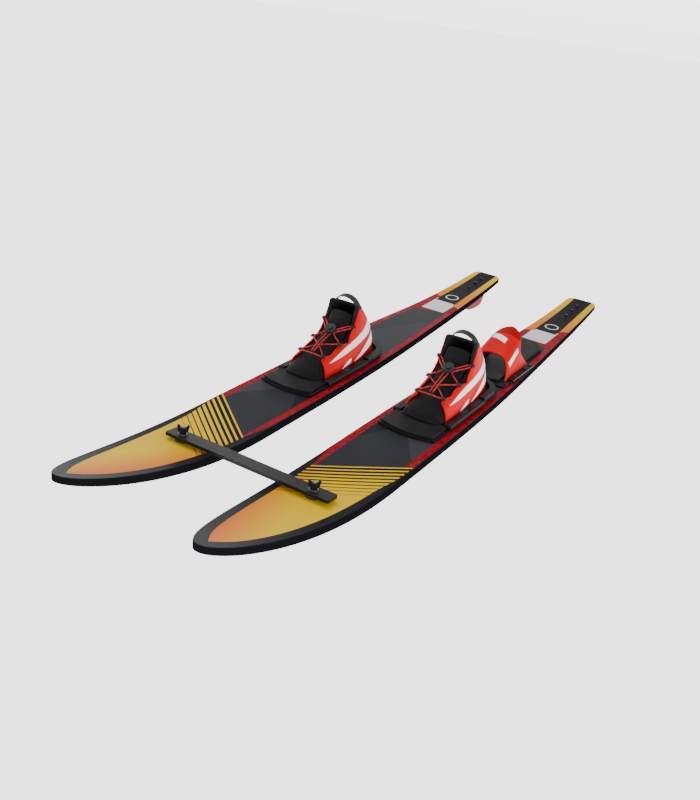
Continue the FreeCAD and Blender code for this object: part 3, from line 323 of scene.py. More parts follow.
def deck_paint(side):
    """The printed deck, dark side walls and dark base of one ski."""
    paint = Paint(f"{side}_ski_print")
    across, station, height = paint.ski_place(side)
    inset = edge_distance(paint, across, station)

    front = front_colour(paint, across, station)
    behind, gap = deck_bars(paint, across, station)
    front = paint.mix(gap, front, BLACK)

    streaks = paint.noise(1.0, 6, 0.6, paint.moved(paint.place, (420, 28, 60)))
    tone = paint.sum(facets(paint, across, station), paint.times(streaks, 0.22))
    panel = paint.mix(paint.ramp(tone, -0.45, 1.2), PANEL_DARK, PANEL_LIGHT)
    hatch = paint.wave(paint.sum(station, paint.times(across, 0.6)), 0.0075)
    dim = paint.times(paint.ramp(station, 0.60, 0.76), paint.times(hatch, 0.22))
    panel = paint.mix(dim, panel, PANEL_DARK)

    mottle = paint.noise(1.0, 5, 0.65, paint.moved(paint.place, (160, 60, 90)))
    band = paint.mix(paint.ramp(mottle, 0.36, 0.62), CRIMSON_DEEP, CRIMSON)
    chips = paint.noise(1.0, 4, 0.7, paint.moved(paint.place, (60, 300, 60)))
    band = paint.mix(paint.times(paint.ramp(chips, 0.52, 0.72), 0.55), band, CRIMSON_PALE)
    band_width = paint.curve(station, BAND_WIDTHS, 0.0, 0.03)
    panel = paint.mix(paint.less(1.0, paint.step(inset, band_width, LINE)), panel, band)

    past_panel = slanted(paint, across, station, 1.345, 1.315, 0.045)
    rear = paint.mix(paint.ramp(mottle, 0.30, 0.66), CRIMSON_DEEP, CRIMSON)
    panel = paint.mix(paint.step(past_panel, 0.0, LINE), panel, rear)

    label = paint.times(
        paint.between(station, *LABEL_STATIONS, LINE), paint.between(across, *LABEL_ACROSS, LINE)
    )
    panel = paint.mix(paint.times(label, 0.94), panel, LABEL_GREY)
    past_label = paint.step(station, STRIP_START, LINE)
    strip_width = paint.curve(station, STRIP_WIDTHS, 0.0, 0.04)
    strip = paint.less(1.0, paint.step(paint.math("ABSOLUTE", across), strip_width, LINE))
    panel = paint.mix(paint.times(strip, past_label), panel, PANEL_DARK)

    from_roundel = paint.less(station, ROUNDEL_STATION)
    squares = paint.sum(paint.times(across, across), paint.math("POWER", from_roundel, 2.0))
    ring = paint.between(paint.math("SQRT", squares), *ROUNDEL_RADII, LINE)
    panel = paint.mix(paint.times(ring, 0.85), panel, WHITE)

    tail_line = slanted(paint, across, station, 1.392, 1.462, 0.055)
    tail_tone = paint.mix(paint.ramp(station, 1.46, 1.64), TAIL_ORANGE, TAIL_YELLOW)
    outside = paint.step(paint.math("ABSOLUTE", across), paint.sum(strip_width, 0.0022), LINE)
    tail = paint.mix(outside, BLACK, tail_tone)
    in_tail = paint.times(paint.step(tail_line, 0.0, LINE), paint.less(1.0, strip))
    panel = paint.mix(in_tail, panel, tail)

    deck = paint.mix(paint.step(behind, 0.0, LINE), front, panel)
    rim_width = paint.curve(station, RIM_WIDTHS, 0.0, 0.04)
    deck = paint.mix(paint.less(1.0, paint.step(inset, rim_width, LINE)), deck, RIM)

    up = paint.split(paint.add("ShaderNodeTexCoord").outputs["Normal"])[2]
    layers = paint.wave(height, 0.0032)
    wall = paint.mix(paint.times(layers, 0.35), (0.004, 0.004, 0.005), (0.012, 0.012, 0.014))
    base_lines = paint.between(paint.math("ABSOLUTE", across), *BASE_LINES, LINE)
    base_tone = paint.mix(paint.ramp(station, 0.2, 1.4), ORANGE, CRIMSON)
    base = paint.mix(paint.times(base_lines, 0.9), (0.020, 0.021, 0.027), base_tone)
    on_deck = paint.step(up, 0.45, 0.25)
    colour = paint.mix(on_deck, wall, deck)
    colour = paint.mix(paint.less(1.0, paint.step(up, -0.6, 0.2)), colour, base)

    worn = paint.noise(9, 4)
    scuffs = paint.noise(1.0, 8, 0.7, paint.moved(paint.place, (900, 40, 200), (0, 0, 0.4)))
    rough = paint.sum(paint.times(worn, 0.10), paint.times(scuffs, 0.06))
    paint.set(
        color=colour,
        roughness=paint.sum(rough, 0.26),
        specular=paint.times(on_deck, 0.035),
    )
    paint.relief(paint.noise(3, 2), 0.0006, 0.35)
    cloth = paint.wave(paint.sum(across, paint.times(station, 0.9)), 0.0016)
    paint.relief(cloth, 0.00003, 0.25)
    return paint.material


# Each white stripe on a boot: its (station, height) lower edge, upper edge, start and end.
BOOT_STRIPES = [
    (
        [(0.755, 0.0395), (0.80, 0.0440), (0.85, 0.0515), (0.905, 0.0625), (0.99, 0.084)],
        [(0.755, 0.0400), (0.80, 0.0535), (0.85, 0.0690), (0.905, 0.0900), (0.99, 0.128)],
        0.757,
        0.985,
    ),
    (
        [(0.853, 0.0150), (0.88, 0.0185), (0.905, 0.0240), (0.94, 0.0330), (0.99, 0.046)],
        [(0.853, 0.0158), (0.88, 0.0285), (0.905, 0.0430), (0.94, 0.0580), (0.99, 0.074)],
        0.856,
        0.975,
    ),
    (
        [(0.801, 0.0128), (0.82, 0.0150), (0.842, 0.0185)],
        [(0.801, 0.0136), (0.82, 0.0235), (0.842, 0.0300)],
        0.803,
        0.840,
    ),
]


def boot_print(paint, side):
    """How white the printed stripes on a boot are at a place, with its station and height."""
    _, station, height = paint.ski_place(side)
    stripes = []
    for low, high, start, end in BOOT_STRIPES:
        over = paint.step(height, paint.curve(station, low, 0.0, 0.15), LINE)
        under = paint.less(1.0, paint.step(height, paint.curve(station, high, 0.0, 0.15), LINE))
        along = paint.between(station, start, end, LINE)
        stripes.append(paint.times(paint.times(over, under), along))
    first, second, third = stripes
    return paint.math("MAXIMUM", paint.math("MAXIMUM", first, second), third), station, height


def foam_grain(paint, strength=0.25):
    """The fine closed-cell skin of moulded foam."""
    paint.relief(paint.noise(2600, 2), 0.00012, strength)
    paint.relief(paint.noise(170, 3), 0.0005, strength * 0.5)


def mottled_red(paint, shade):
    return paint.mix(paint.times(paint.ramp(shade, 0.42, 0.75), 0.22), RED, RED_DEEP)


def upper_paint(side):
    """Red moulded foam with white stripes, painted shade low on the heel, and a stitched groove
    below its top edge.
    """
    paint = Paint(f"{side}_boot_foam")
    white, station, height = boot_print(paint, side)
    shade = paint.noise(26, 4)
    colour = mottled_red(paint, shade)
    # Painted shade: the low back of the heel is darkened towards deep red.
    heel_shade_mask = paint.times(
        paint.ramp(station, 0.84, 0.93), paint.less(1.0, paint.ramp(height, 0.02, 0.085))
    )
    colour = paint.mix(paint.times(heel_shade_mask, 0.62), colour, RED_DEEP)
    colour = paint.mix(paint.times(white, 0.97), colour, WHITE)
    paint.set(color=colour, roughness=paint.sum(paint.times(shade, 0.16), 0.44), specular=0.06)
    foam_grain(paint)
    seam = paint.add("ShaderNodeUVMap", uv_map="Cut").outputs[0]
    along, up, _ = paint.split(seam)
    groove = paint.between(up, 0.925, 0.94, 0.008)
    stitches = paint.step(paint.wave(along, 0.012), 0.35, 0.2)
    stitch = paint.times(paint.between(up, 0.945, 0.955, 0.004), stitches)
    paint.relief(paint.less(1.0, groove), 0.0008, 0.8)
    paint.relief(stitch, 0.0005, 0.7)
    return paint.material


def knit_paint(name):
    """Neoprene with a knitted face: fine ribs of small stitches."""
    paint = Paint(name)
    cut = paint.add("ShaderNodeUVMap", uv_map="Cut").outputs[0]
    across, up, _ = paint.split(cut)
    wale = paint.wave(across, 0.0055)
    course = paint.wave(paint.sum(up, paint.times(wale, 0.003)), 0.009)
    loops = paint.times(wale, course)
    fuzz = paint.noise(900, 3)
    shade = paint.sum(paint.times(loops, 0.55), paint.times(fuzz, 0.5))
    paint.set(
        color=paint.mix(paint.ramp(shade, 0.25, 1.0), BLACK, BLACK_WORN),
        roughness=0.72,
        specular=0.12,
        sheen=0.05,
        sheen_roughness=0.45,
    )
    paint.relief(loops, 0.0004, 0.6)
    paint.relief(paint.noise(60, 2), 0.0014, 0.35)
    return paint.material


def webbing_paint(name):
    """Black webbing: warp ribs with a herringbone set."""
    paint = Paint(name)
    cut = paint.add("ShaderNodeUVMap", uv_map="Cut").outputs[0]
    along, over, _ = paint.split(cut)
    rib = paint.wave(over, 0.16)
    pick = paint.wave(paint.sum(along, paint.times(over, 0.02)), 0.02)
    weave = paint.math("MAXIMUM", rib, paint.times(pick, 0.8))
    paint.set(
        color=paint.mix(weave, BLACK, (0.018, 0.018, 0.020)),
        roughness=0.52,
        specular=0.22,
        sheen=0.05,
    )
    paint.relief(weave, 0.0005, 0.8)
    return paint.material


def foam_pad_paint(name):
    """Black foam pad with a pebbled skin and moulded grip grooves."""
    paint = Paint(name)
    pebble = paint.cells(620)
    shade = paint.noise(30, 4)
    tone = paint.sum(paint.times(shade, 0.7), paint.times(pebble, 0.3))
    skin = paint.mix(paint.ramp(tone, 0.25, 0.8), (0.004, 0.004, 0.005), (0.016, 0.016, 0.017))
    paint.set(
        color=skin,
        roughness=paint.sum(paint.times(shade, 0.22), 0.40),
        specular=0.09,
    )
    paint.relief(pebble, 0.00035, 0.55)
    paint.relief(shade, 0.0016, 0.3)
    return paint.material


def plastic_paint(name, colour, worn, roughness=0.38, grain=0.35):
    """Moulded plastic: a fine spark-eroded grain, lighter where it is rubbed."""
    paint = Paint(name)
    broad = paint.noise(24, 4)
    fine = paint.noise(1900, 2)
    brushed = paint.moved(paint.place, (60, 900, 500), (0.2, 0.1, 0.5))
    scratches = paint.noise(1.0, 7, 0.72, brushed)
    tone = paint.times(paint.ramp(scratches, 0.60, 0.75), 0.5)
    tint = paint.mix(paint.times(paint.ramp(broad, 0.35, 0.8), 0.5), colour, worn)
    paint.set(
        color=paint.mix(tone, tint, worn),
        roughness=paint.sum(paint.times(broad, 0.18), roughness),
        specular=0.16,
    )
    paint.relief(fine, 0.00010, grain)
    paint.relief(broad, 0.0004, 0.15)
    return paint.material


def fin_paint():
    """Red moulded fin, with flow marks and fine scratches."""
    paint = Paint("fin_moulding")
    flow = paint.noise(1.0, 5, 0.6, paint.moved(paint.place, (10, 40, 18)))
    colour = paint.mix(paint.ramp(flow, 0.3, 0.75), (0.15, 0.0, 0.002), (0.24, 0.0, 0.004))
    paint.set(color=colour, roughness=0.34, specular=0.05)
    scratches = paint.noise(1.0, 8, 0.75, paint.moved(paint.place, (60, 26, 900), (0.1, 0, 0)))
    paint.relief(scratches, 0.0001, 0.4)
    return paint.material


def cord_paint():
    """Braided polyester: two sets of strands wound opposite ways."""
    paint = Paint("lace_braid")
    cut = paint.add("ShaderNodeTexCoord").outputs["UV"]
    along, around, _ = paint.split(cut)
    run = paint.times(along, 230.0)
    left = paint.wave(paint.sum(run, paint.times(around, 4.0)), 1.0)
    right = paint.wave(paint.less(run, paint.times(around, 4.0)), 1.0)
    braid = paint.times(paint.sum(left, right), 0.5)
    fleck = paint.step(paint.noise(240, 2), 0.56, 0.05)
    tone = paint.mix(paint.times(braid, 0.8), (0.24, 0.0, 0.002), (0.62, 0.012, 0.016))
    paint.set(
        color=paint.mix(paint.times(fleck, 0.22), tone, (0.70, 0.16, 0.15)),
        roughness=0.66,
        specular=0.25,
        sheen=0.03,
    )
    paint.relief(braid, 0.0004, 0.9)
    return paint.material


def steel_paint(name, colour, roughness):
    """Turned metal, a little smeared."""
    paint = Paint(name)
    turned = paint.noise(1.0, 6, 0.6, paint.moved(paint.place, (200, 200, 2600)))
    smear = paint.noise(45, 3)
    paint.set(
        color=paint.mix(paint.times(smear, 0.5), colour, tuple(c * 0.72 for c in colour)),
        metallic=1.0,
        roughness=paint.sum(paint.times(turned, 0.18), roughness),
    )
    paint.relief(turned, 0.00008, 0.4)
    return paint.material


def rubber_paint():
    paint = Paint("moulded_rubber")
    bloom = paint.noise(40, 4)
    paint.set(
        color=paint.mix(bloom, (0.010, 0.010, 0.011), (0.032, 0.032, 0.034)),
        roughness=paint.sum(paint.times(bloom, 0.2), 0.6),
    )
    paint.relief(paint.noise(1200, 2), 0.0002, 0.4)
    return paint.material


def strap_paint():
    """The toe strap: red foam with a bar, a patch, a darker rear flap and a painted highlight along
    its edges.
    """
    paint = Paint("toe_strap_foam")
    across, station, height = paint.ski_place("left")
    shade = paint.noise(26, 4)
    flap_edge = paint.step(paint.sum(station, paint.times(height, 0.40)), 1.1665, 0.001)
    flap = paint.times(flap_edge, paint.step(height, 0.060, 0.004))
    colour = paint.mix(paint.times(flap, 0.72), mottled_red(paint, shade), RED_DEEP)
    lean = paint.less(height, paint.times(paint.less(station, 1.058), 0.38))
    bar_run = paint.between(station, 1.064, 1.118, LINE)
    bar = paint.times(paint.between(lean, 0.0270, 0.0360, LINE), bar_run)
    bar = paint.times(bar, paint.step(paint.math("ABSOLUTE", across), 0.030, LINE))
    patch_run = paint.sum(station, paint.times(across, 0.35))
    patch_span = paint.between(across, -0.029, 0.010, LINE)
    patch = paint.times(paint.between(patch_run, 1.106, 1.122, LINE), patch_span)
    white = paint.math("MAXIMUM", bar, patch)
    colour = paint.mix(paint.times(white, 0.97), colour, WHITE)
    foam_grain(paint)
    cut = paint.add("ShaderNodeUVMap", uv_map="Cut").outputs[0]
    _, run, _ = paint.split(cut)
    edge = paint.math("MINIMUM", run, paint.less(1.0, run))
    paint.relief(paint.less(1.0, paint.between(edge, 0.045, 0.06, 0.01)), 0.0008, 0.8)
    # Painted highlight: a lighter red line along the strap's edges.
    edge_highlight = paint.less(1.0, paint.step(edge, 0.028, 0.006))
    colour = paint.mix(paint.times(edge_highlight, 0.8), colour, (0.72, 0.05, 0.05))
    paint.set(color=colour, roughness=paint.sum(paint.times(shade, 0.16), 0.42), specular=0.06)
    return paint.material


def floor_paint():
    """A pale floor that glows a little less higher up its wall, so that no edge shows."""
    paint = Paint("studio_floor")
    paint.set(color=(0.60, 0.60, 0.60), roughness=1.0, specular=0.0)
    paint.surface.inputs["Emission Color"].default_value = (1, 1, 1, 1)
    glow = paint.less(3.0, paint.times(paint.split(paint.place)[2], 0.045))
    paint.feed(paint.surface.inputs["Emission Strength"], glow)
    return paint.material


MATERIALS = {
    "black_plastic": plastic_paint("black_nylon", BLACK, BLACK_WORN),
    "bar_plastic": plastic_paint("bar_nylon", BLACK, (0.018, 0.018, 0.020), 0.30, 0.5),
    "grey_plastic": plastic_paint("lock_nylon", (0.010, 0.011, 0.013), (0.034, 0.037, 0.042), 0.36),
    "fin_plastic": fin_paint(),
    "dark_steel": steel_paint("black_screw_steel", (0.05, 0.05, 0.055), 0.40),
    "zinc_steel": steel_paint("plain_steel", (0.24, 0.245, 0.25), 0.42),
    "brass": steel_paint("turned_brass", (0.80, 0.60, 0.28), 0.28),
    "black_rubber": rubber_paint(),
    "black_neoprene": knit_paint("neoprene_knit"),
    "black_webbing": webbing_paint("webbing_weave"),
    "black_foam": foam_pad_paint("foam_pad_skin"),
    "red_cord": cord_paint(),
}
DECKS = {side: deck_paint(side) for side in SIDES}
UPPERS = {side: upper_paint(side) for side in SIDES}
STRAP = strap_paint()


# ------------------------------------------------------------------ mesh helpers


def spline(points, count):
    """Evenly spaced places on a smooth curve through the points, along the first axis."""
    points = np.asarray(points, float)
    if len(points) == 2:
        share = np.linspace(0, 1, count).reshape(-1, *[1] * (points.ndim - 1))
        return points[0] * (1 - share) + points[1] * share
    ends = [2 * points[0] - points[1], *points, 2 * points[-1] - points[-2]]
    rows = []
    for place in np.linspace(0, len(points) - 1, count):
        index = min(int(place), len(points) - 2)
        t = place - index
        a, b, c, d = ends[index : index + 4]
        square = (2 * a - 5 * b + 4 * c - d) * t**2
        cube = (3 * b - a - 3 * c + d) * t**3
        rows.append(0.5 * (2 * b + (c - a) * t + square + cube))
    return np.array(rows)


def patch_grid(ribs, along, up):
    """A fine grid over ribs of points."""
    fine = np.array([spline(rib, up) for rib in ribs])
    return spline(fine, along)


def grid_normals(grid, inside):
    """Unit normals of a grid, turned away from the point inside."""
    u = np.gradient(grid, axis=0)
    v = np.gradient(grid, axis=1)
    normal = np.cross(u, v)
    normal /= np.linalg.norm(normal, axis=2, keepdims=True)
    outwards = ((grid - np.asarray(inside, float)) * normal).sum(axis=2, keepdims=True)
    return np.where(outwards.mean() < 0, -normal, normal)


def mesh_from(bm, cut, place, name):
    """Makes the mesh, with each vertex's place on the cut as its UV."""
    for face in bm.faces:
        for loop in face.loops:
            loop[cut].uv = place[loop.vert]
    bmesh.ops.recalc_face_normals(bm, faces=bm.faces)
    mesh_data = bpy.data.meshes.new(name)
    bm.to_mesh(mesh_data)
    bm.free()
    return mesh_data


def finish_mesh(name, mesh_data, side, slot, replaced, levels=0, material=None):
    """Makes the object, smooths it, rounds it by subdivision and hands it to the frame."""
    obj = bpy.data.objects.new(name, mesh_data)
    bpy.context.scene.collection.objects.link(obj)
    mesh_data.transform(ski_matrix(side))
    mesh_data.update()
    mesh_data.materials.append(material or MATERIALS[slot])
    for face in mesh_data.polygons:
        face.use_smooth = True
    if levels:
        rounding = obj.modifiers.new("soften", "SUBSURF")
        rounding.levels = levels
        rounding.render_levels = levels
    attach(obj, f"{side}_ski")
    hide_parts(replaced)
    return obj


def shell_mesh(name, outer, inner, lip):
    """A closed thin shell between two grids of one shape, its four edges rounded over a lip."""
    count_u, count_v = outer.shape[:2]
    middle = (outer + inner) / 2
    half = (outer - inner) / 2
    steps = 3
    layers = []
    for index in range(2 * steps + 1):
        angle = math.pi * index / (2 * steps)
        layers.append((math.cos(angle), math.sin(angle)))
    bm = bmesh.new()
    cut = bm.loops.layers.uv.new("Cut")
    border = [(i, 0) for i in range(count_u)]
    border += [(count_u - 1, j) for j in range(1, count_v)]
    border += [(i, count_v - 1) for i in range(count_u - 2, -1, -1)]
    border += [(0, j) for j in range(count_v - 2, 0, -1)]

    def outward(i, j):
        near_i, near_j = min(max(i, 1), count_u - 2), min(max(j, 1), count_v - 2)
        away = middle[i, j] - middle[near_i, near_j]
        return away / max(np.linalg.norm(away), 1e-9)

    outer_verts = [[bm.verts.new(outer[i, j]) for j in range(count_v)] for i in range(count_u)]
    inner_verts = [[bm.verts.new(inner[i, j]) for j in range(count_v)] for i in range(count_u)]
    place = {}
    for i in range(count_u):
        for j in range(count_v):
            spot = (i / (count_u - 1), j / (count_v - 1))
            place[outer_verts[i][j]] = spot
            place[inner_verts[i][j]] = spot
    for i in range(count_u - 1):
        for j in range(count_v - 1):
            corners = [(i, j), (i + 1, j), (i + 1, j + 1), (i, j + 1)]
            bm.faces.new([outer_verts[a][b] for a, b in corners])
            bm.faces.new([inner_verts[a][b] for a, b in corners[:1] + corners[:0:-1]])
    loops = [[outer_verts[i][j] for i, j in border]]
    for across, along in layers[1:-1]:
        ring = []
        for i, j in border:
            spot = middle[i, j] + half[i, j] * across + outward(i, j) * lip * along
            vert = bm.verts.new(spot)
            place[vert] = (i / (count_u - 1), j / (count_v - 1))
            ring.append(vert)
        loops.append(ring)
    loops.append([inner_verts[i][j] for i, j in border])
    total = len(border)
    for upper_ring, lower_ring in zip(loops, loops[1:]):
        for index in range(total):
            following = (index + 1) % total
            bm.faces.new(
                (upper_ring[index], lower_ring[index], lower_ring[following], upper_ring[following])
            )
    return mesh_from(bm, cut, place, name)


def smooth_step(value, low, high):
    """0 to 1 as the value goes from low to high, level at both ends."""
    share = np.clip((value - low) / (high - low), 0, 1)
    return share * share * (3 - 2 * share)


def mirrored(points):
    """The same points on the other side of the ski's centreline."""
    return [(-x, s, z) for x, s, z in points]


def horseshoe(half):
    """Ribs from one wing round the heel to the other, from one half."""
    return half + [mirrored(rib) for rib in half[-2::-1]]


def arch(half):
    """Points from one side over to the other, from one half that ends at the middle."""
    return half + mirrored(half[:-1])[::-1]


# ------------------------------------------------------------------ soft boot pieces

# Half of the boot's upper, from the front of its wing round to the heel's centre.
UPPER_RIBS = [
    [(50, 737, 5), (49, 738, 20), (42, 740, 37), (30, 744, 49)],
    [(51, 772, 5), (50, 772, 24), (45, 772, 43), (33, 773, 57)],
    [(51, 808, 5), (50.5, 807, 28), (47, 806, 49), (36, 806, 65)],
    [(50, 846, 5), (50, 844, 32), (47.5, 842, 59), (40, 841, 82)],
    [(49, 882, 5), (49, 877, 40), (46.5, 869, 80), (41, 862, 117)],
    [(47, 914, 5), (47, 905, 42), (45, 890, 88), (40, 872, 135)],
    [(41, 946, 5), (41, 938, 40), (38.5, 920, 84), (36, 896, 127)],
    [(26, 974, 5), (26, 968, 36), (25, 948, 80), (23, 914, 121)],
    [(0, 986, 5), (0, 981, 34), (0, 960, 76), (0, 922, 118)],
]
COLLAR_RISES = [0, 0, 0, 3, 12, 9, 14, 19, 20]
TOE_CAP_ARCHES = [
    [(46.5, 716, 11.3), (38, 710, 12.6), (20, 705, 14.0), (0, 703, 14.6)],
    [(46.5, 724, 11.3), (41, 721, 18.5), (25, 716, 25), (0, 713, 27.5)],
    [(45.5, 738, 11.3), (42, 738, 24), (27, 736, 36), (0, 733, 40.5)],
    [(45, 765, 11.3), (43, 765, 28), (28, 765, 47.5), (0, 764, 53)],
    [(45, 790, 11.3), (43.5, 790, 30), (30, 790, 56), (0, 789, 61)],
]
TONGUE_ARCHES = [
    [(27, 793, 56.5), (15, 792, 60), (0, 791, 61)],
    [(28, 826, 73), (15, 825, 77), (0, 824, 78.5)],
    [(28, 846, 97), (15, 844, 101), (0, 843, 102.5)],
    [(27, 862, 121), (15, 859, 125), (0, 857, 126.5)],
]
STRAP_ARCHES = [
    [(53, 1038, 5), (50, 1046, 18), (42, 1056, 35), (27, 1066, 48), (0, 1070, 52)],
    [(53, 1066, 5), (50, 1073, 20), (43, 1080, 40), (28, 1088, 57), (0, 1091, 62)],
    [(53, 1100, 5), (50.5, 1103, 22), (43.5, 1107, 44), (30, 1112, 65), (0, 1115, 72)],
    [(53, 1134, 5), (50, 1127, 24), (43, 1128, 48), (30, 1134, 71), (0, 1138, 81)],
    [(53, 1168, 5), (48.5, 1148, 25), (41, 1142, 50), (29, 1153, 77), (0, 1166, 89)],
]
INSIDE_BOOT = (0, 850, 30)
BOOT_GRID = (151, 34)
UPPER_THICK = 4.0
PAD_BEVEL = 2.4
LINER_FRONT = 800
LACE_RINGS = [(38.5, 847.5, 99.3), (35, 802.5, 71), (28.5, 746, 56.8)]


def throat_scallops(stations):
    """How far the top edge dips between the lobes that carry the lace loops."""
    dip = np.zeros_like(stations)
    for lobe in (774, 826):
        dip = np.maximum(dip, np.exp(-(((stations - lobe) / 12) ** 2)))
    notch = np.exp(-(((stations - 832) / 3.2) ** 2))
    return 0.085 * dip + 0.12 * notch


def make_upper(side):
    """The red foam wall, open at the throat, its top edge scalloped."""
    grid = patch_grid(horseshoe(UPPER_RIBS), *BOOT_GRID)
    top = grid[:, -1]
    rise = np.linspace(0, 1, grid.shape[1])
    dips = throat_scallops(top[:, 1])
    trimmed = np.empty_like(grid)
    for index, column in enumerate(grid):
        wanted = rise * (1 - dips[index])
        for axis in range(3):
            trimmed[index, :, axis] = np.interp(wanted, rise, column[:, axis])
    normals = grid_normals(trimmed, INSIDE_BOOT)
    body = UPPER_THICK - 0.9 * smooth_step(rise, 0.86, 1.0)[None, :, None]
    inner = trimmed - normals * body
    swell = 0.5 * np.sin(math.pi * rise)[None, :, None]
    outer = trimmed + normals * swell * 0.6
    mesh_data = shell_mesh(f"{side}_boot_upper_mesh", outer, inner, 1.2)
    obj = finish_mesh(
        f"{side}_boot_upper", mesh_data, side, "red_foam", f"{side}_upper", 1, UPPERS[side]
    )


def make_liner(side):
    """The padded liner inside the upper, its stitched collar raised above the top edge."""
    half = []
    for rib, rise in zip(UPPER_RIBS, COLLAR_RISES):
        top, below = Vector(rib[-1]), Vector(rib[-2])
        lifted = top + (top - below).normalized() * rise
        half.append(rib[:-1] + [tuple(lifted)])
    grid = patch_grid(horseshoe(half), *BOOT_GRID)
    keep = [index for index in range(len(grid)) if grid[index, 0, 1] > LINER_FRONT]
    normals = grid_normals(grid, INSIDE_BOOT)
    grid, normals = grid[keep], normals[keep]
    rise = np.linspace(0, 1, grid.shape[1])
    collar = smooth_step(rise, 0.62, 0.88)[None, :, None]
    quilting = 0.5 * np.abs(np.sin(math.pi * rise * 7)) * smooth_step(rise, 0.35, 0.5)
    channels = quilting[None, :, None]
    lip_roll = smooth_step(rise, 0.90, 0.985)[None, :, None]
    stations = grid[:, -1, 1]
    high = smooth_step(stations, 846, 866)[:, None, None]
    outer = grid - normals * (4.4 - 3.4 * collar * lip_roll * high)
    inner = grid - normals * (7.2 + 1.8 * collar + channels)
    mesh_data = shell_mesh(f"{side}_boot_liner_mesh", outer, inner, 1.8)
    obj = finish_mesh(f"{side}_boot_liner", mesh_data, side, "black_neoprene", f"{side}_liner", 1)


def make_arched_pad(name, side, arches, inside, thick, swell, ridges, replaced):
    """A soft arch: toe cap or tongue, with ribs across it where it is stitched."""
    grid = patch_grid([arch(item) for item in arches], 49, 45)
    normals = grid_normals(grid, inside)
    along = np.linspace(0, 1, grid.shape[0])[:, None, None]
    across = np.linspace(-1, 1, grid.shape[1])[None, :, None]
    crown = (1 - along**8) * (1 - across**8)
    stitched = np.abs(np.sin(math.pi * along * ridges)) ** 0.5 if ridges else 1.0
    outer = grid + normals * swell * crown * stitched
    inner = grid - normals * thick
    mesh_data = shell_mesh(name + "_mesh", outer, inner, thick * 0.4)
    obj = finish_mesh(name, mesh_data, side, "black_neoprene", replaced, 1)


def slab(name, side, outline, low, high, slot, replaced):
    """A flat piece drawn by its outline, its upper edges rounded."""
    bm = bmesh.new()
    cut = bm.loops.layers.uv.new("Cut")
    ring = [bm.verts.new((x, s, low)) for x, s in outline]
    face = bm.faces.new(ring)
    lifted = bmesh.ops.extrude_face_region(bm, geom=[face])
    moved = [item for item in lifted["geom"] if isinstance(item, bmesh.types.BMVert)]
    for vert in moved:
        vert.co.z = high
    bmesh.ops.recalc_face_normals(bm, faces=bm.faces)
    rim = [edge for edge in bm.edges if all(abs(vert.co.z - high) < 1e-6 for vert in edge.verts)]
    bmesh.ops.bevel(bm, geom=rim, offset=PAD_BEVEL, segments=3, profile=0.6, affect="EDGES")
    for item in bm.faces:
        for loop in item.loops:
            loop[cut].uv = (loop.vert.co.x / 100, loop.vert.co.y / 100)
    mesh_data = bpy.data.meshes.new(name + "_mesh")
    bm.to_mesh(mesh_data)
    bm.free()
    obj = finish_mesh(name, mesh_data, side, slot, replaced)
    for item in obj.data.polygons:
        item.use_smooth = False
    return obj


def arc_points(centre, radii, start, end, count):
    """Places on an ellipse's arc, in degrees."""
    found = []
    for index in range(count + 1):
        angle = math.radians(start + (end - start) * index / count)
        x, y = radii[0] * math.cos(angle), radii[1] * math.sin(angle)
        found.append((centre[0] + x, centre[1] + y))
    return found


def bowed_front(half_width, front, bow, count=18):
    """The bowed front edge of a pad, from its left to its right."""
    radius = (half_width**2 + bow**2) / (2 * bow)
    turn = math.degrees(math.asin(half_width / radius))
    return arc_points((0, front + radius), (radius, radius), 270 - turn, 270 + turn, count)


def make_footbed(side):
    """The foam pad under the boot, wider in front of it."""
    outline = bowed_front(61, 645, 13)
    outline += [(61, 721), (45.5, 721), (45.5, 795), (39, 795), (39, 925)]
    outline += arc_points((0, 925), (39, 30), 0, 180, 24)[1:-1]
    outline += [(-39, 925), (-39, 795), (-45.5, 795), (-45.5, 721), (-61, 721)]
    obj = slab(f"{side}_boot_footbed", side, outline, 5.0, 10.9, "black_foam", f"{side}_footbed")


def band(name, side, centre, width_direction, width, thick, replaced):
    """A flat band along a line: its width lies along width_direction at every point."""
    line = np.asarray(centre, float)
    tangent = np.gradient(line, axis=0)
    tangent /= np.linalg.norm(tangent, axis=1, keepdims=True)
    wide = np.broadcast_to(np.asarray(width_direction, float), line.shape)
    wide = wide - (wide * tangent).sum(axis=1, keepdims=True) * tangent
    wide /= np.linalg.norm(wide, axis=1, keepdims=True)
    proud = np.cross(tangent, wide)
    corners = []
    for angle in range(0, 360, 30):
        cosine, sine = math.cos(math.radians(angle)), math.sin(math.radians(angle))
        x = abs(cosine) ** 0.35 * math.copysign(1, cosine)
        z = abs(sine) ** 0.6 * math.copysign(1, sine)
        corners.append((x * width / 2, z * thick / 2))
    bm = bmesh.new()
    cut = bm.loops.layers.uv.new("Cut")
    rings = []
    place = {}
    for index, point in enumerate(line):
        ring = []
        for x, z in corners:
            vert = bm.verts.new(point + wide[index] * x + proud[index] * z)
            run = index / (len(line) - 1) * len(line) / 20
            place[vert] = (run, x / width + 0.5)
            ring.append(vert)
        rings.append(ring)
    total = len(corners)
    for one, two in zip(rings, rings[1:]):
        for index in range(total):
            following = (index + 1) % total
            bm.faces.new((one[index], one[following], two[following], two[index]))
    bm.faces.new(rings[0][::-1])
    bm.faces.new(rings[-1])
    mesh_data = mesh_from(bm, cut, place, name + "_mesh")
    return finish_mesh(name, mesh_data, side, "black_webbing", replaced)


HEEL_LOOP_FOOT = (884, 128)
HEEL_LOOP_RADII = (32.1, 31.2)
HEEL_LOOP_TILT = math.radians(12)
HEEL_LOOP_WIDTH = 16.0
HEEL_LOOP_THICK = 2.6


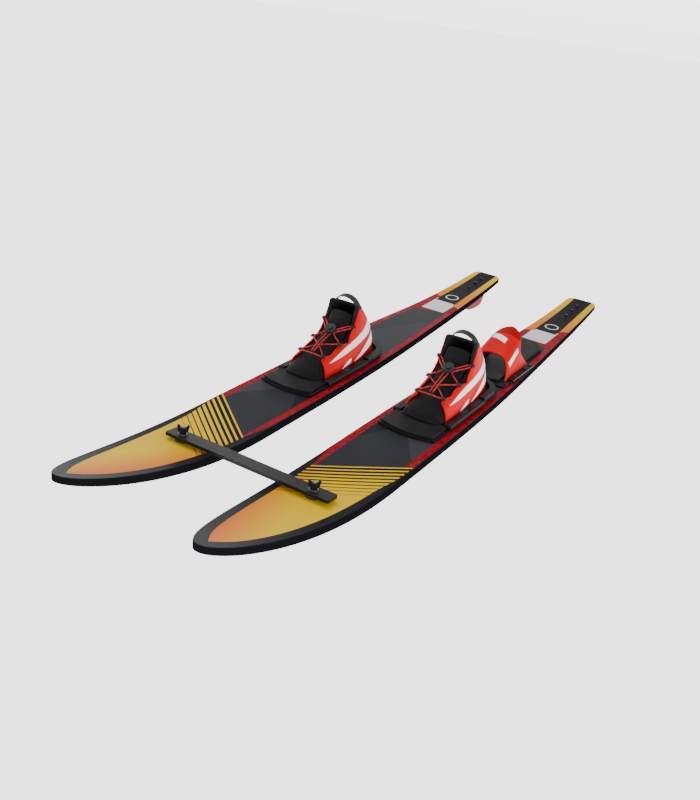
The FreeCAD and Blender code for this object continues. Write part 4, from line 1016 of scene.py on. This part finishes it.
def make_heel_loop(side):
    """The webbing arch at the back, to pull the boot on by."""
    station, height = HEEL_LOOP_FOOT
    back, up = math.sin(HEEL_LOOP_TILT), math.cos(HEEL_LOOP_TILT)
    points = []
    for x, rise in arc_points((0, 0), HEEL_LOOP_RADII, 180, 0, 40):
        points.append((x, station - rise * back, height + rise * up))
    band(
        f"{side}_boot_heel_loop",
        side,
        points,
        (0, up, back),
        HEEL_LOOP_WIDTH,
        HEEL_LOOP_THICK,
        f"{side}_heel_loop",
    )


# The lace's route, point by point: one end to the front crossing, then mirrored back.
LACE_HALF = [
    (3.2, 750, 60),
    (3.6, 780, 74),
    (4.2, 811.5, 83),
    (6.5, 823.3, 90.3),
    (14, 828, 93.5),
    (33.4, 848.4, 101.3),
    (37.5, 848, 100),
    (38.6, 844.6, 97.7),
    (14, 820.8, 89),
    (9.5, 814.8, 85),
    (34.5, 805.4, 71.7),
    (35, 801, 70.2),
    (0, 777, 66),
]
LACE_CROSSED_HALF = [(-30, 748, 57), (-28.2, 743.3, 56.4), (0, 740, 59.5)]
LACE_CROSSING_RISE = 1.9
LACE_RADIUS = 0.0015
TAB_DIRECTIONS = [(0.62, 0.66, 0.24), (0.80, 0.34, -0.32), (0.86, 0.25, -0.22)]
TAB_SLOPES = [(0, 0.85, 0.52), (0, 0.95, 0.30), (0, 0.95, 0.30)]
TAB_WIDTH = 7.0
TAB_THICK = 1.4


def make_lace(side):
    first = LACE_HALF + LACE_CROSSED_HALF[:-1]
    second = mirrored(first[::-1])
    crossing = len(LACE_HALF) - 1
    route = [Vector(point) for point in first + [LACE_CROSSED_HALF[-1]] + second]
    route[crossing].z += LACE_CROSSING_RISE
    route[len(route) - 1 - crossing].z -= LACE_CROSSING_RISE
    place = ski_matrix(side)
    curve = bpy.data.curves.new(f"{side}_boot_lace_line", "CURVE")
    curve.dimensions = "3D"
    curve.bevel_depth = LACE_RADIUS
    curve.bevel_resolution = 3
    curve.resolution_u = 8
    curve.use_fill_caps = True
    line = curve.splines.new("NURBS")
    line.points.add(len(route) - 1)
    for point, spot in zip(line.points, route):
        point.co = (*(place @ spot), 1)
    line.order_u = 3
    line.use_endpoint_u = True
    curve.materials.append(MATERIALS["red_cord"])
    obj = bpy.data.objects.new(f"{side}_boot_lace", curve)
    bpy.context.scene.collection.objects.link(obj)
    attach(obj, f"{side}_ski")
    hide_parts(f"{side}_lace")


def make_lace_tabs(side):
    """Webbing tabs that come out from under the throat's edge and go round the lace."""
    for index, (ring, away, lean) in enumerate(zip(LACE_RINGS, TAB_DIRECTIONS, TAB_SLOPES)):
        for sign, name in ((1, "a"), (-1, "b")):
            outwards = Vector((away[0] * sign, away[1], away[2])).normalized()
            lift = outwards.cross(Vector(lean)).normalized()
            if lift.z < 0:
                lift = -lift
            centre = Vector((ring[0] * sign, ring[1], ring[2]))
            points = []
            for angle in range(-150, 151, 15):
                turn = math.radians(angle)
                reach = 3.2 if abs(angle) < 100 else 3.2 + (abs(angle) - 100) * 0.10
                inwards = outwards * (reach * math.cos(turn) - 1.0)
                points.append(centre - inwards + lift * (2.3 * math.sin(turn)))
            band(
                f"{side}_boot_lace_tab_{index}_{name}",
                side,
                [tuple(point) for point in points],
                tuple(outwards.cross(lift)),
                TAB_WIDTH,
                TAB_THICK,
                f"{side}_lace_loops",
            )


# ------------------------------------------------------------------ rear toe strap


STRAP_STEPS = 61


def make_strap():
    """The rear toe strap's foam arch, its lining and the pad under the rear foot."""
    side = "left"
    grid = patch_grid([arch(item) for item in STRAP_ARCHES], STRAP_STEPS, STRAP_STEPS)
    across = np.linspace(-1, 1, STRAP_STEPS)
    along = np.linspace(0, 1, STRAP_STEPS)
    pull = 0.22 * np.exp(-(((np.abs(across) - 0.50) / 0.16) ** 2))
    shaped = np.empty_like(grid)
    for index in range(STRAP_STEPS):
        wanted = along * (1 - pull[index])
        for axis in range(3):
            shaped[:, index, axis] = np.interp(wanted, along, grid[:, index, axis])
    normals = grid_normals(shaped, (0, 1110, 5))
    level = np.clip(1 - np.abs(across[None, :, None]) ** 6, 0, 1)
    crown = level * (1 - (2 * along[:, None, None] - 1) ** 8)
    outer = shaped + normals * 0.8 * crown
    inner = shaped - normals * 4.0
    mesh_data = shell_mesh("toe_strap_arch_mesh", outer, inner, 1.2)
    obj = finish_mesh("toe_strap_arch", mesh_data, side, "red_foam", "toe_strap_upper", 1, STRAP)
    middle, inwards = shaped[1:-1], normals[1:-1]
    outer, inner = middle - inwards * 4.3, middle - inwards * 6.9
    mesh_data = shell_mesh("toe_strap_lining_mesh", outer, inner, 0.9)
    lining = finish_mesh(
        "toe_strap_arch_lining", mesh_data, side, "black_neoprene", "toe_strap_lining", 1
    )

    outline = bowed_front(42, 1012, 8)
    outline += [(42, 1270)] + arc_points((0, 1270), (42, 42), 0, 180, 28)[1:-1] + [(-42, 1270)]
    obj = slab("toe_strap_foot_pad", side, outline, 4.0, 10.0, "black_foam", "toe_strap_footpad")


# ------------------------------------------------------------------ lock springs


def make_lock_spring(side):
    """A copy of the lock's spring, on a mesh of its own, in place of the imported spring."""
    coil = frame["nodes"][f"{side}_lock_spring"]
    mesh_data = coil.data.copy()
    mesh_data.name = f"{side}_lock_coil_mesh"
    obj = bpy.data.objects.new(f"{side}_lock_coil", mesh_data)
    bpy.context.scene.collection.objects.link(obj)
    obj.matrix_world = coil.matrix_world.copy()
    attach(obj, f"{side}_ski")
    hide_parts(f"{side}_lock_spring")
    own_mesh(obj)


# ------------------------------------------------------------------ build everything

SLOTS = {item["node"]: item["material_slot"] for item in frame["record"]["subparts"]}
for node, obj in frame["nodes"].items():
    obj.data.materials.clear()
    if node.endswith("_ski"):
        obj.data.materials.append(DECKS[node.split("_")[0]])
    elif SLOTS[node] == "red_foam":
        foam = STRAP if node == "toe_strap_upper" else UPPERS[node.split("_")[0]]
        obj.data.materials.append(foam)
    else:
        obj.data.materials.append(MATERIALS[SLOTS[node]])

for side in SIDES:
    make_upper(side)
    make_liner(side)
    make_arched_pad(
        f"{side}_boot_toe_cap", side, TOE_CAP_ARCHES, (0, 760, 5), 3.0, 0.5, 0, f"{side}_toe_cap"
    )
    make_arched_pad(
        f"{side}_boot_tongue", side, TONGUE_ARCHES, (0, 850, 20), 3.0, 1.4, 5, f"{side}_tongue"
    )
    make_footbed(side)
    make_heel_loop(side)
    make_lace(side)
    make_lace_tabs(side)
    make_lock_spring(side)
make_strap()

# ------------------------------------------------------------------ stage

# A bowl: a flat floor that curves up into a wall, far out.
FLOOR_SIDES = 64
FLAT_RADIUS = 60
WALL_RADIUS = 20

floor_mesh = bpy.data.meshes.new("studio_floor_mesh")
bm = bmesh.new()
profile = [(20.0, 0.0), (FLAT_RADIUS, 0.0)]
profile += arc_points((FLAT_RADIUS, WALL_RADIUS), (WALL_RADIUS, WALL_RADIUS), -85, 0, 17)
angles = [2 * math.pi * index / FLOOR_SIDES for index in range(FLOOR_SIDES)]
rings = []
for radius, height in profile:
    ring = [(radius * math.cos(angle), radius * math.sin(angle), height) for angle in angles]
    rings.append([bm.verts.new(spot) for spot in ring])
bm.faces.new(rings[0])
for lower_ring, upper_ring in zip(rings, rings[1:]):
    for index in range(FLOOR_SIDES):
        after = (index + 1) % FLOOR_SIDES
        bm.faces.new((lower_ring[index], lower_ring[after], upper_ring[after], upper_ring[index]))
for face in bm.faces:
    face.smooth = True
bm.to_mesh(floor_mesh)
bm.free()
floor = bpy.data.objects.new("studio_floor", floor_mesh)
floor_mesh.materials.append(floor_paint())
floor.location.z = -0.0006
bpy.context.scene.collection.objects.link(floor)

world = bpy.data.worlds.new("studio")
bpy.context.scene.world = world
world.use_nodes = True
world.node_tree.nodes["Background"].inputs["Color"].default_value = (1.0, 1.0, 1.0, 1)
world.node_tree.nodes["Background"].inputs["Strength"].default_value = 0.5


def soft_light(name, place, target, size, power):
    """A rectangular area light that faces its target."""
    data = bpy.data.lights.new(name, "AREA")
    data.shape = "RECTANGLE"
    data.size = size[0]
    data.size_y = size[1]
    data.energy = power
    lamp = bpy.data.objects.new(name, data)
    lamp.location = place
    lamp.rotation_euler = (Vector(target) - Vector(place)).to_track_quat("-Z", "Y").to_euler()
    bpy.context.scene.collection.objects.link(lamp)


soft_light("key_light", (-1.2, 0.6, 2.6), (0, 0, 0), (2.0, 1.6), 55)
soft_light("fill_light", (2.2, -1.8, 1.6), (0, -0.2, 0.05), (1.4, 1.4), 22)

CAMERA_PLACE = (0.9209, -0.9502, 0.9238)
CAMERA_YAW = 29.503
CAMERA_PITCH = 25.913
CAMERA_ROLL = 6.320
FOCAL_LENGTH = 44.03

yaw, pitch, roll = (math.radians(angle) for angle in (CAMERA_YAW, CAMERA_PITCH, CAMERA_ROLL))
level = math.cos(pitch)
ahead = Vector((-math.sin(yaw) * level, math.cos(yaw) * level, -math.sin(pitch)))
right = Vector((math.cos(yaw), math.sin(yaw), 0))
over = right.cross(ahead)
rolled_right = right * math.cos(roll) + over * math.sin(roll)
rolled_over = over * math.cos(roll) - right * math.sin(roll)
camera_data = bpy.data.cameras.new("photo_camera")
camera_data.lens = FOCAL_LENGTH
camera_data.sensor_width = 36
camera = bpy.data.objects.new("photo_camera", camera_data)
turned = Matrix((rolled_right, rolled_over, -ahead)).transposed().to_4x4()
camera.matrix_world = stance() @ Matrix.Translation(CAMERA_PLACE) @ turned
bpy.context.scene.collection.objects.link(camera)
bpy.context.scene.camera = camera
